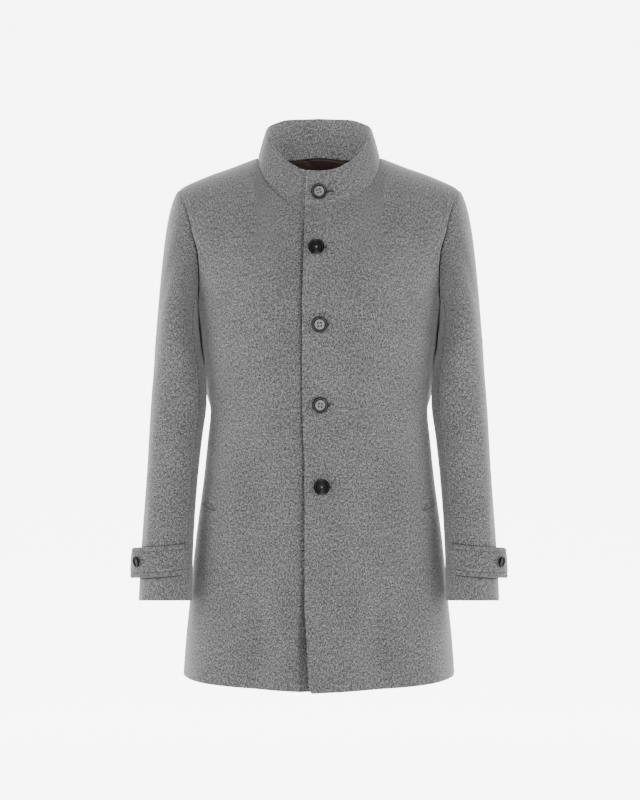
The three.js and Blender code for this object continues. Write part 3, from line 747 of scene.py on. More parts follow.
@dataclass(frozen=True)
class Melton:
    """Heathered wool melton: light and dark fibres milled into a short matted nap."""

    name: str = "melton"
    light: float = 0.205
    dark: float = 0.109
    sheen: float = 0.6

    def make(self) -> bpy.types.Material:
        """Builds the material.

        Returns:
            The material.
        """
        shader = Shader(self.name)
        cloth = shader.uv((1, 0.62, 1))
        flecks = shader.noise(cloth, 640, 3, 0.66)
        tufts = shader.noise(cloth, 1500, 2, 0.6)
        clouds = shader.noise(shader.uv((1, 0.7, 1)), 17, 3, 0.6)
        slubs = shader.noise(cloth, 290, 2, 0.5)
        fibre = flecks * 0.62 + tufts * 0.2 + slubs * 0.18
        base = shader.ramp(fibre, [
            (0.41, grey(self.dark * 0.4)), (0.472, grey(self.dark)),
            (0.53, grey(self.light)), (0.60, grey(self.light * 1.9))])
        patchy = shader.ramp(clouds, [(0.3, (0.87, 0.87, 0.875)), (0.7, grey(1.07))])
        shader.link("Base Color", shader.mix(1.0, base, patchy, "MULTIPLY"))
        shader.set(Roughness=0.95, Sheen_Weight=self.sheen, Sheen_Roughness=0.4, Specular_IOR_Level=0.1)
        shader.bump(flecks * 0.6 + tufts * 0.4, 0.55, 0.0016)
        return shader.material


@dataclass(frozen=True)
class Satin:
    """Woven lining satin."""

    name: str
    colour: tuple[float, float, float]
    roughness: float = 0.42

    def make(self) -> bpy.types.Material:
        """Builds the material.

        Returns:
            The material.
        """
        shader = Shader(self.name)
        threads = shader.noise(shader.uv((1, 0.06, 1)), 3200, 2, 0.5)
        clouds = shader.noise(shader.uv(), 30, 2, 0.5)
        dark = tuple(c * 0.75 for c in self.colour)
        light = tuple(c * 1.25 for c in self.colour)
        shader.link("Base Color", shader.ramp(threads * 0.6 + clouds * 0.4, [(0.35, dark), (0.65, light)]))
        shader.set(Roughness=self.roughness, Sheen_Weight=0.05, Specular_IOR_Level=0.3)
        shader.bump(threads, 0.2, 0.0004)
        return shader.material


@dataclass(frozen=True)
class Horn:
    """Polished horn with a face, a groove and a rim of different tones, drifting streaks and a painted
    highlight; the groove's dark tone, also round the outer edge, is partly painted shade.
    """

    name: str
    face: tuple[float, float, float]
    groove: tuple[float, float, float]
    rim: tuple[float, float, float]
    streak: float = 0.25
    roughness: float = 0.28
    wedge: float = 0.1
    painted_highlight: tuple[float, float, float] = (0.3, 0.29, 0.28)

    def make(self) -> bpy.types.Material:
        """Builds the material.

        Returns:
            The material.
        """
        shader = Shader(self.name)
        reach = shader.node("ShaderNodeAttribute", {"attribute_name": "reach"}, {}, "Fac")
        # The groove tone, in the groove and from 0.885 out to the edge, is partly the horn's own darker tone
        # and partly painted shade.
        rings = shader.ramp(reach, [
            (0.0, self.face), (0.60, self.face), (0.65, self.groove), (0.735, self.groove),
            (0.78, self.rim), (0.84, self.rim), (0.885, self.groove)])
        drift = shader.noise(shader.node("ShaderNodeMapping", {}, {
            "Vector": shader.place(), "Scale": (1, 1, 0.35)}), 230, 4, 0.6)
        low, high = 1 - self.streak, 1 + self.streak
        streaks = shader.ramp(drift, [(0.36, grey(low)), (0.64, grey(high))])
        # Painted highlight: a lighter colour mixed in over a sector of the face, read per vertex.
        highlight_fan = shader.node("ShaderNodeAttribute", {"attribute_name": "wedge"}, {}, "Fac")
        body = shader.mix(1.0, rings, streaks, "MULTIPLY")
        shader.link("Base Color", shader.mix(highlight_fan * self.wedge, body, self.painted_highlight))
        shader.set(Roughness=self.roughness, Specular_IOR_Level=0.08)
        shader.bump(shader.noise(shader.place(), 1800, 2, 0.5), 0.08, 0.0003)
        return shader.material


@dataclass(frozen=True)
class Thread:
    """Twisted sewing thread."""

    name: str
    colour: tuple[float, float, float]

    def make(self) -> bpy.types.Material:
        """Builds the material.

        Returns:
            The material.
        """
        shader = Shader(self.name)
        twist = shader.noise(shader.place(), 4200, 2, 0.5)
        dark = tuple(c * 0.7 for c in self.colour)
        shader.link("Base Color", shader.ramp(twist, [(0.35, dark), (0.65, self.colour)]))
        shader.set(Roughness=0.7, Sheen_Weight=0.3)
        shader.bump(twist, 0.3, 0.0003)
        return shader.material


@dataclass
class Finishes:
    """All the coat's materials."""

    wool: bpy.types.Material = field(default_factory=lambda: Melton().make())
    collar: bpy.types.Material = field(default_factory=lambda: Melton("melton_collar", 0.218, 0.118).make())
    lining: bpy.types.Material = field(
        default_factory=lambda: Satin("lining_satin", (0.007, 0.0045, 0.004)).make())
    patch: bpy.types.Material = field(
        default_factory=lambda: Satin("patch_satin", (0.018, 0.007, 0.0045), 0.36).make())
    horn_grey: bpy.types.Material = field(
        default_factory=lambda: Horn(
            "horn_grey", (0.27, 0.266, 0.255), grey(0.01), (0.075, 0.074, 0.072)).make())
    horn_dark: bpy.types.Material = field(
        default_factory=lambda: Horn(
            "horn_dark", (0.014, 0.012, 0.012), (0.005, 0.004, 0.004), (0.02, 0.018, 0.017),
            streak=0.5, roughness=0.4, wedge=0.22).make())
    piping: bpy.types.Material = field(
        default_factory=lambda: Satin("piping_satin", (0.04, 0.022, 0.016), 0.45).make())
    thread: bpy.types.Material = field(
        default_factory=lambda: Thread("thread_dark", (0.045, 0.045, 0.047)).make())
    thread_light: bpy.types.Material = field(
        default_factory=lambda: Thread("thread_light", (0.36, 0.355, 0.35)).make())
    # Dark thread material used only as painted shadow: in pocket and buttonhole slits, under the tab edges,
    # and on the shanks that show through the button holes.
    shadow: bpy.types.Material = field(
        default_factory=lambda: Thread("painted_shadow", (0.02, 0.02, 0.021)).make())


def dress(obj: bpy.types.Object, material: bpy.types.Material, slot: str, *nodes: str) -> None:
    """Gives a piece its material and body, and hides the nodes that it stands for.

    Args:
        obj: The piece.
        material: Its material.
        slot: Not used.
        nodes: The CAD nodes that it replaces.
    """
    obj.data.materials.clear()
    obj.data.materials.append(material)
    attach(obj, "root")
    if nodes:
        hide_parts(*nodes)
    LOG.info("%s: %d faces", obj.name, len(obj.data.polygons))


@dataclass
class BodyPanels:
    """The two fronts and the back, hung from the shoulders."""

    wall: float = 2.5
    column_steps: int = 56
    lap_columns: tuple[float, float] = (0.1, 0.3)
    lap_steps: int = 30
    row_steps: int = 176
    fullness: Table = Table(("z", "height"), (
        (-418, 0), (-372, 9), (-320, 11), (-285, 12), (-255, 10), (-215, 0)))
    fullness_y: float = 34
    fullness_width: float = 15
    hem_opening: float = 6
    lip_height: float = 2.0
    lip_width: float = 7
    under_drop: float = 4.0
    trough_depth: float = 2.5
    trough_hem_depth: float = 9
    trough_reach: float = 5
    front_creases: tuple[Crease, ...] = (
        Crease(46, -78, 48, -300, 6, 0.7),
        Crease(100, -60, 122, -125, 20, -2.6),
        Crease(-50, -62, -112, -128, 22, -2.6),
        Crease(150, -150, 112, -235, 18, -1.4),
        Crease(-158, -150, -118, -240, 18, -1.4),
        Crease(176, -330, 130, -400, 12, -1.3),
        Crease(-176, -340, -128, -412, 12, -1.3),
        Crease(172, -372, 118, -450, 11, 1.0),
        Crease(-170, -385, -122, -455, 12, 1.0),
        Crease(60, -420, 70, -640, 26, -1.2),
        Crease(-70, -440, -82, -660, 26, -1.2),
        Crease(96, -640, 90, -860, 24, -10.0),
        Crease(-96, -640, -90, -860, 25, -11.0),
        Crease(-160, -380, -92, -500, 22, -3.0),
        Crease(-60, -700, -52, -835, 16, 1.2),
        Crease(60, -690, 50, -835, 17, 1.2),
    )
    back_creases: tuple[Crease, ...] = (
        Crease(0, -30, 0, -330, 30, -1.6),
        Crease(120, -120, 160, -230, 16, -1.8),
        Crease(-120, -130, -158, -235, 16, -1.8),
        Crease(40, -330, 120, -430, 15, -1.5),
        Crease(-48, -345, -126, -425, 15, -1.5),
        Crease(60, -400, 78, -640, 22, -2.0),
        Crease(-72, -420, -84, -660, 22, -2.0),
        Crease(10, -520, 16, -800, 24, 1.8),
        Crease(128, -560, 140, -810, 16, -2.2),
        Crease(-130, -540, -146, -800, 16, -2.2),
    )

    def half(self, face: Face, side: int) -> tuple[np.ndarray, np.ndarray]:
        """Points and normals of half the body on one face.

        Args:
            face: Front or back.
            side: 1 on the wearer's left, -1 on the right.

        Returns:
            Points in millimetres, moved to their side, and their normals.
        """
        columns = spread(self.column_steps, face is Face.FRONT, True, 1 / 330)
        if face is Face.FRONT and side < 0:
            lap = np.linspace(*self.lap_columns, self.lap_steps)
            columns = np.unique(np.concatenate([columns, lap]).round(4))
        rows = spread(self.row_steps, True, True, 1 / 850)
        points = FORM.half_panel(columns[None, :], rows[:, None], face, side)
        inner = np.stack([0 * points[..., 0], 0 * points[..., 1],
                          np.minimum(points[..., 2], FORM.underarm_z)], axis=-1)
        normals = grid_normals(points, inner)
        normals = self.true_seams(normals, columns, face)
        x, z = points[..., 0], points[..., 2]
        creases = self.front_creases if face is Face.FRONT else self.back_creases
        relief = sum(crease.relief(side * x, z) for crease in creases)
        if face is Face.FRONT:
            relief = relief + self.front_shift(x, z, side)
        near_side = smooth(np.broadcast_to(columns[None, :], x.shape), 0.86, 0.97)
        relief = relief * (1 - near_side)
        if face is Face.BACK:
            relief = relief + self.side_fullness(points[..., 1], z)
        points = points + normals * relief[..., None]
        flip = np.array([side, 1, 1])
        return points * flip, normals * flip

    def true_seams(self, normals: np.ndarray, columns: np.ndarray, face: Face) -> np.ndarray:
        """Squares the normals where two panels share a seam.

        Args:
            normals: Normals of half a panel.
            columns: Shares of the way across.
            face: Front or back.

        Returns:
            The squared normals.
        """
        normals = normals.copy()
        normals[:, -1, 1] *= 0.3
        if face is Face.BACK:
            normals[:, 0, 0] = 0
        shoulder = columns >= FORM.corner_share
        normals[-1, shoulder, 1] = 0
        return normals / np.linalg.norm(normals, axis=-1, keepdims=True)

    def front_shift(self, x: np.ndarray, z: np.ndarray, side: int) -> np.ndarray:
        """The upper front opens a little at the hem, and the under one lies behind it.

        Args:
            x: Distances from the centre line, to the panel's side.
            z: Levels.
            side: 1 on the wearer's left, -1 on the right.

        Returns:
            How far each place moves outward.
        """
        if side > 0:
            edge = FORM.front_edge.at("x", z)
            lip = self.lip_height * np.exp(-(((x - edge) / self.lip_width) ** 2)) * smooth(-z, 90, 130)
            return self.hem_opening * smooth(-z, 680, 840) * (1 - smooth(x, -25, 70)) + lip
        lapped = -FORM.front_edge.at("x", z)
        trough = (self.trough_depth + self.trough_hem_depth * smooth(-z, 640, 760)) * smooth(-z, 90, 140)
        reach = self.trough_reach + 3 * smooth(-z, 480, 560) + 8 * smooth(-z, 700, 765)
        beside = 1 - smooth(x, lapped + 0.25 * reach, lapped + reach)
        return -self.under_drop * (1 - smooth(x, 30, 85)) - trough * beside

    def side_fullness(self, y: np.ndarray, z: np.ndarray) -> np.ndarray:
        """Soft fullness of the back beside each underarm, which shows between body and sleeve."""
        return self.fullness.at("height", z) * np.exp(-(((y - self.fullness_y) / self.fullness_width) ** 2))

    def build(self, finishes: Finishes) -> None:
        """Builds and dresses the three panels.

        Args:
            finishes: The coat's materials.
        """
        for name, side in (("front_left", 1), ("front_right", -1)):
            points, normals = self.half(Face.FRONT, side)
            shell = ClothShell(f"{name}_cloth", points, normals, self.wall,
                               (Edge.FREE, Edge.SEAM, Edge.FREE, Edge.SEAM))
            obj = shell.build()
            dress(obj, finishes.wool, "wool", name)
        left, left_normals = self.half(Face.BACK, 1)
        right, right_normals = self.half(Face.BACK, -1)
        points = np.concatenate([right[:, :0:-1], left], axis=1)
        normals = np.concatenate([right_normals[:, :0:-1], left_normals], axis=1)
        shell = ClothShell("back_cloth", points, normals, self.wall,
                           (Edge.FREE, Edge.SEAM, Edge.SEAM, Edge.SEAM))
        obj = shell.build()
        dress(obj, finishes.wool, "wool", "back")


@dataclass
class Sleeves:
    """Two-piece sleeves, each a top and an under piece."""

    wall: float = 2.5
    row_steps: int = 150
    creases: tuple[Crease, ...] = (
        Crease(-70, -120, -40, -260, 14, -1.6),
        Crease(60, -110, 30, -250, 15, -1.5),
        Crease(-110, -300, -30, -372, 11, -1.9),
        Crease(-116, -352, -36, -420, 10, 1.4),
        Crease(-120, -400, -44, -462, 10, -1.8),
        Crease(-104, -470, -30, -520, 12, -1.2),
        Crease(100, -330, 26, -396, 12, -1.8),
        Crease(108, -410, 30, -455, 12, 1.3),
        Crease(14, -300, 4, -560, 16, -1.0),
        Crease(-20, -520, -34, -660, 15, -1.2),
        Crease(48, -500, 60, -690, 16, -1.4),
    )

    def part(self, first: float, last: float, side: int, steps: int) -> tuple[np.ndarray, np.ndarray]:
        """Points and normals of one sleeve piece between two seam angles.

        Args:
            first: Angle of its first seam.
            last: Angle of its last seam.
            side: 1 on the wearer's left, -1 on the right.
            steps: Steps round.

        Returns:
            Points in millimetres, moved to their side, and their normals.
        """
        turns = first + (last - first) * spread(steps, True, True, 1 / (2.6 * steps))
        rows = spread(self.row_steps, True, True, 1 / 700)
        angle, down = np.meshgrid(np.mod(turns, 360), rows)
        points = FORM.sleeve_point(angle, down)
        z = np.minimum(points[..., 2], FORM.bicep_z)
        middle_x = (FORM.sleeve.at("outer", z) + FORM.sleeve.at("inner", z)) / 2
        inner = np.stack([middle_x, FORM.sleeve.at("centre_y", z), np.minimum(points[..., 2], -200)], axis=-1)
        normals = grid_normals(points, inner)
        round_place = np.mod(angle + 180, 360) - 180
        relief = sum(crease.relief(round_place, points[..., 2]) for crease in self.creases)
        points = points + normals * relief[..., None]
        flip = np.array([side, 1, 1])
        return points * flip, normals * flip

    def build(self, finishes: Finishes) -> None:
        """Builds and dresses the four pieces.

        Args:
            finishes: The coat's materials.
        """
        front, back = FORM.seam_angle(2), FORM.seam_angle(-4)
        parts = (("top", front, back + 360, 100, (0.30, 0.66), 0.14),
                 ("under", back, front, 44, (0.15, 0.53), 0.055))
        for name, side in (("left", 1), ("right", -1)):
            for part, first, last, steps, flat, area in parts:
                points, normals = self.part(first, last, side, steps)
                shell = ClothShell(f"sleeve_{name}_{part}_cloth", points, normals, self.wall,
                                   (Edge.SEAM, Edge.FREE, Edge.SEAM, Edge.SEAM), seam_roll=0.8,
                                   laid_from_end=True)
                obj = shell.build()
                dress(obj, finishes.wool, "wool", f"sleeve_{name}_{part}")


@dataclass
class StandCollar:
    """The stand collar: one doubled band whose ends lap at the centre front."""

    wall: float = 4.0
    start: float = -12.0
    end: float = 373.0
    top_half_width: float = 85
    top_front: float = 92
    top_back: float = 66
    flare: float = 0.82
    lift: float = 0.5
    lap_inset: float = 4.9
    lap_turns: tuple[float, float] = (268, 328)
    roll: float = 1.2
    top: Table = Table(("angle", "z"), (
        (0, -31), (10, -29.8), (20, -25.8), (28, -20.3), (38, -12), (56, 7), (66, 20), (75, 33), (90, 44),
        (120, 58), (145, 67), (180, 70)))

    def band(self, turn: np.ndarray, height: np.ndarray) -> np.ndarray:
        """Points of the band: turn is 0 at the centre front, height 0 at the seam and 1 at the top.

        Args:
            turn: Degrees round the neck.
            height: Shares of the band's height.

        Returns:
            Points on the band's outside.
        """
        turn, height = np.broadcast_arrays(turn, height)
        side = np.where(np.sin(np.radians(turn)) < 0, -1.0, 1.0)
        wrapped = np.degrees(np.arccos(np.clip(np.cos(np.radians(turn)), -1, 1)))
        x = FORM.neck_half_width * np.sin(np.radians(wrapped))
        front = FORM.chest(x, FORM.neckline_rise(np.minimum(wrapped, 90), Face.FRONT), Face.FRONT)
        back = FORM.chest(x, FORM.neckline_rise(np.maximum(wrapped, 90), Face.BACK), Face.BACK)
        foot = np.where((wrapped < 90)[..., None], front, back) + np.array([0, 0, self.lift])
        reach = np.where(wrapped < 90, self.top_front, self.top_back)
        top = np.stack([self.top_half_width * np.sin(np.radians(wrapped)),
                        -reach * np.cos(np.radians(wrapped)), self.top.at("z", wrapped)], axis=-1)
        flare = (height ** self.flare)[..., None]
        points = foot + (top - foot) * flare
        points[..., 2] = foot[..., 2] + (top - foot)[..., 2] * height
        points[..., 0] *= side
        return points

    def build(self, finishes: Finishes) -> None:
        """Builds and dresses the collar.

        Args:
            finishes: The coat's materials.
        """
        turns = self.start + (self.end - self.start) * spread(230, True, True, 1 / 560)
        heights = spread(22, True, True, 1 / 60)
        turn, height = np.meshgrid(turns, heights)
        points = self.band(turn, height)
        inner = np.stack([0 * turn, 0 * turn, points[..., 2]], axis=-1)
        normals = grid_normals(points, inner)
        inset = self.lap_inset * smooth(turn, *self.lap_turns)
        roll = self.roll * np.sin(math.pi * height)
        points = points + normals * (roll - inset)[..., None]
        shell = ClothShell("collar_cloth", points, normals, self.wall,
                           (Edge.SEAM, Edge.FREE, Edge.FREE, Edge.FREE), free_roll=0.5)
        obj = shell.build()
        dress(obj, finishes.collar, "wool_collar", "collar")


def mesh_object(name: str, vertices: np.ndarray, faces: list, smooth_angle: float = 40) -> bpy.types.Object:
    """Makes an object at the origin from vertices in millimetres.

    Args:
        name: The new object's name.
        vertices: Vertices in millimetres.
        faces: Faces by vertex number.
        smooth_angle: Largest angle in degrees that is shaded smooth.

    Returns:
        The new object.
    """
    mesh = bpy.data.meshes.new(name)
    mesh.from_pydata((np.asarray(vertices) * MM).tolist(), [], faces)
    mesh.shade_smooth()
    mesh.set_sharp_from_angle(angle=math.radians(smooth_angle))
    obj = bpy.data.objects.new(name, mesh)
    bpy.context.scene.collection.objects.link(obj)
    return obj


def turned(profile: np.ndarray, segments: int) -> tuple[np.ndarray, list]:
    """Turns a profile of (radius, height), from axis to axis, round Z.

    Args:
        profile: Profile points; the first and last lie on the axis.
        segments: Steps round.

    Returns:
        Vertices and faces of a closed solid.
    """
    angles = np.arange(segments) * 2 * math.pi / segments
    rings = profile[1:-1]
    circle = np.stack([np.cos(angles), np.sin(angles)], axis=-1)
    vertices = [[0, 0, profile[0, 1]]]
    for radius, height in rings:
        vertices += [[radius * c, radius * s, height] for c, s in circle]
    vertices.append([0, 0, profile[-1, 1]])
    last = len(vertices) - 1
    faces = []
    for k in range(segments):
        after = (k + 1) % segments
        faces.append([0, 1 + after, 1 + k])
        for ring in range(len(rings) - 1):
            a, b = 1 + ring * segments, 1 + (ring + 1) * segments
            faces.append([a + k, a + after, b + after, b + k])
        top = 1 + (len(rings) - 1) * segments
        faces.append([top + k, top + after, last])
    return np.array(vertices), faces


def tube(path: np.ndarray, radius: float, sides: int = 8) -> tuple[np.ndarray, list]:
    """A closed round tube along a path of points in millimetres.

    Args:
        path: Points along its middle.
        radius: Its radius.
        sides: Sides round.

    Returns:
        Vertices and faces.
    """
    steps = np.gradient(path, axis=0)
    steps /= np.linalg.norm(steps, axis=1, keepdims=True)
    guide = np.array([0.31, 0.87, 0.38])
    first = np.cross(steps, guide)
    first /= np.linalg.norm(first, axis=1, keepdims=True)
    second = np.cross(steps, first)
    angles = np.arange(sides) * 2 * math.pi / sides
    rings = [path + radius * (math.cos(a) * first + math.sin(a) * second) for a in angles]
    vertices = np.stack(rings, axis=1).reshape(-1, 3)
    faces = []
    for i in range(len(path) - 1):
        for k in range(sides):
            after = (k + 1) % sides
            a, b = i * sides, (i + 1) * sides
            faces.append([a + k, a + after, b + after, b + k])
    faces.append(list(range(sides))[::-1])
    faces.append([(len(path) - 1) * sides + k for k in range(sides)])
    return vertices, faces


def joined(parts: list[tuple[np.ndarray, list]]) -> tuple[np.ndarray, list]:
    """Joins several sets of vertices and faces into one.

    Args:
        parts: Sets of vertices and faces.

    Returns:
        All vertices and faces.
    """
    vertices, faces, base = [], [], 0
    for points, polygons in parts:
        vertices.append(points)
        faces += [[base + i for i in polygon] for polygon in polygons]
        base += len(points)
    return np.concatenate(vertices), faces


def sewn(name: str, parts: list[tuple[np.ndarray, list]], material: bpy.types.Material,
         smooth_angle: float = 40) -> bpy.types.Object:
    """Makes one mesh of sewing or shade from its parts and lets it ride on the coat.

    Args:
        name: The new object's name.
        parts: Sets of vertices, in millimetres, and faces.
        material: Its material.
        smooth_angle: Largest angle in degrees that is shaded smooth.

    Returns:
        The new object.
    """
    obj = mesh_object(name, *joined(parts), smooth_angle)
    obj.data.materials.append(material)
    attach(obj, "root")
    return obj


@dataclass(frozen=True)
class Seat:
    """A place on the cloth where something is sewn: a point, its outward normal and its sideways line."""

    point: np.ndarray
    normal: np.ndarray
    sideways: np.ndarray

    @staticmethod
    def on(surface: SurfacePoint, u: float, v: float, inner: np.ndarray) -> "Seat":
        """Finds a seat on a surface.

        Args:
            surface: Function of two numbers that gives a point.
            u: First number, which moves the point sideways.
            v: Second number.
            inner: A point inside the surface.

        Returns:
            The seat.
        """
        here = surface(u, v)
        side = surface(u + 0.5, v) - surface(u - 0.5, v)
        up = surface(u, v + 0.5) - surface(u, v - 0.5)
        normal = np.cross(side, up)
        normal /= np.linalg.norm(normal)
        if normal @ (here - inner) < 0:
            normal = -normal
        return Seat(here, normal, side / np.linalg.norm(side))

    def frame(self) -> np.ndarray:
        """Axes of the seat as rows: sideways, up and out.

        Returns:
            Three unit rows.
        """
        side = self.sideways - self.normal * (self.sideways @ self.normal)
        side /= np.linalg.norm(side)
        return np.stack([side, np.cross(self.normal, side), self.normal])

    def lay(self, local: np.ndarray) -> np.ndarray:
        """Takes points given as sideways, up and out of the seat into the coat's frame."""
        return self.point + np.asarray(local, dtype=float) @ self.frame()

    def mirrored(self) -> "Seat":
        """The same seat on the other side of the coat."""
        flip = np.array([-1, 1, 1])
        return Seat(self.point * flip, self.normal * flip, self.sideways * flip)


@dataclass
class StitchRow:
    """Stitches to sew: where each one lies, which way it runs and which way the cloth faces."""

    places: list[np.ndarray] = field(default_factory=list)
    along: list[np.ndarray] = field(default_factory=list)
    out: list[np.ndarray] = field(default_factory=list)

    def add(self, place: np.ndarray, along: np.ndarray, out: np.ndarray) -> None:
        """Adds one stitch.

        Args:
            place: Its middle.
            along: Its direction.
            out: The cloth's normal.
        """
        self.places.append(place)
        self.along.append(along / np.linalg.norm(along))
        self.out.append(out / np.linalg.norm(out))

    def run(self, path: np.ndarray, normals: np.ndarray, pitch: float) -> None:
        """Adds stitches end to end along a path.

        Args:
            path: Points on the cloth.
            normals: The cloth's normals there.
            pitch: Distance from stitch to stitch.
        """
        lengths = run_length(path)
        for at in np.arange(pitch / 2, lengths[-1], pitch):
            point = np.array([np.interp(at, lengths, path[:, k]) for k in range(3)])
            ahead = np.array([np.interp(at + pitch / 2, lengths, path[:, k]) for k in range(3)])
            normal = np.array([np.interp(at, lengths, normals[:, k]) for k in range(3)])
            if np.linalg.norm(ahead - point) > 1e-6:
                self.add(point, ahead - point, normal)


class StitchNodes:
    """Geometry Nodes that put a small bead of thread on every point of a guide."""

    def __init__(self) -> None:
        """Builds the node tree."""
        self.tree = bpy.data.node_groups.new("stitches", "GeometryNodeTree")
        self.sockets = {}
        for name, kind in (("Guide", "NodeSocketGeometry"), ("Length", "NodeSocketFloat"),
                           ("Radius", "NodeSocketFloat"), ("Uneven", "NodeSocketFloat"),
                           ("Thread", "NodeSocketMaterial")):
            socket = self.tree.interface.new_socket(name=name, in_out="INPUT", socket_type=kind)
            self.sockets[name] = socket.identifier
        self.tree.interface.new_socket(name="Stitches", in_out="OUTPUT", socket_type="NodeSocketGeometry")
        start = self.add("NodeGroupInput")
        points = self.add("GeometryNodeMeshToPoints", Mesh=start.outputs["Guide"])
        bead = self.add("GeometryNodeMeshUVSphere", Segments=8, Rings=6, Radius=1.0)
        along = self.attribute("along")
        out = self.attribute("out")
        first = self.add("FunctionNodeAlignRotationToVector", Vector=along)
        first.axis = "X"
        second = self.add("FunctionNodeAlignRotationToVector", Rotation=first.outputs[0], Vector=out)
        second.axis = "Z"
        second.pivot_axis = "X"
        low = self.math("SUBTRACT", 1.0, start.outputs["Uneven"])
        high = self.math("ADD", 1.0, start.outputs["Uneven"])
        wobble = self.add("FunctionNodeRandomValue", Min=low, Max=high, Seed=7)
        half = self.math("MULTIPLY", start.outputs["Length"], 0.5)
        size = self.add("ShaderNodeCombineXYZ", X=self.math("MULTIPLY", half, wobble.outputs[1]),
                        Y=start.outputs["Radius"], Z=start.outputs["Radius"])
        placed = self.add("GeometryNodeInstanceOnPoints", Points=points.outputs[0], Instance=bead.outputs[0],
                          Rotation=second.outputs[0], Scale=size.outputs[0])
        real = self.add("GeometryNodeRealizeInstances", Geometry=placed.outputs[0])
        thread = self.add("GeometryNodeSetMaterial", Geometry=real.outputs[0],
                          Material=start.outputs["Thread"])
        end = self.add("NodeGroupOutput")
        self.tree.links.new(thread.outputs[0], end.inputs[0])

    def add(self, kind: str, **inputs: object) -> bpy.types.Node:
        """Adds a node with values or links by input name.

        Args:
            kind: The node's type.
            inputs: Values or links.

        Returns:
            The node.
        """
        node = self.tree.nodes.new(kind)
        for name, value in inputs.items():
            socket = next(s for s in node.inputs if s.name == name and s.enabled)
            if isinstance(value, bpy.types.NodeSocket):
                self.tree.links.new(value, socket)
            else:
                socket.default_value = value
        return node

    def attribute(self, name: str) -> bpy.types.NodeSocket:
        """Reads a vector attribute of the guide.

        Args:
            name: The attribute's name.

        Returns:
            Its value.
        """
        node = self.tree.nodes.new("GeometryNodeInputNamedAttribute")
        node.data_type = "FLOAT_VECTOR"
        node.inputs["Name"].default_value = name
        return node.outputs["Attribute"]

    def math(self, operation: str, first: bpy.types.NodeSocket | float,
             second: bpy.types.NodeSocket | float) -> bpy.types.NodeSocket:
        """Adds a Math node.

        Args:
            operation: What to do.
            first: First value.
            second: Second value.

        Returns:
            The result.
        """
        node = self.tree.nodes.new("ShaderNodeMath")
        node.operation = operation
        for socket, value in zip(node.inputs, (first, second)):
            if isinstance(value, bpy.types.NodeSocket):
                self.tree.links.new(value, socket)
            else:
                socket.default_value = value
        return node.outputs[0]

    def sew(self, name: str, row: StitchRow, length: float, radius: float,
            thread: bpy.types.Material, uneven: float = 0.08) -> bpy.types.Object:
        """Sews a row of stitches.

        Args:
            name: The new object's name.
            row: The stitches.
            length: One stitch's length in millimetres.
            radius: The thread's radius in millimetres.
            thread: The thread's material.
            uneven: How much the lengths vary.

        Returns:
            The stitches as one mesh.
        """
        guide = bpy.data.meshes.new(name + "_guide")
        guide.from_pydata((np.array(row.places) * MM).tolist(), [], [])
        for key, values in (("along", row.along), ("out", row.out)):
            layer = guide.attributes.new(key, "FLOAT_VECTOR", "POINT")
            layer.data.foreach_set("vector", np.array(values, dtype=np.float32).ravel())
        holder = bpy.data.objects.new(name + "_guide", guide)
        bpy.context.scene.collection.objects.link(holder)
        modifier = holder.modifiers.new("stitches", "NODES")
        modifier.node_group = self.tree
        modifier[self.sockets["Length"]] = length * MM
        modifier[self.sockets["Radius"]] = radius * MM
        modifier[self.sockets["Uneven"]] = uneven
        modifier[self.sockets["Thread"]] = thread
        graph = bpy.context.evaluated_depsgraph_get()
        mesh = bpy.data.meshes.new_from_object(holder.evaluated_get(graph), depsgraph=graph)
        mesh.name = name
        mesh.shade_smooth()
        obj = bpy.data.objects.new(name, mesh)
        bpy.context.scene.collection.objects.link(obj)
        bpy.data.objects.remove(holder)
        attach(obj, "root")
        LOG.info("%s: %d stitches", name, len(row.places))
        return obj


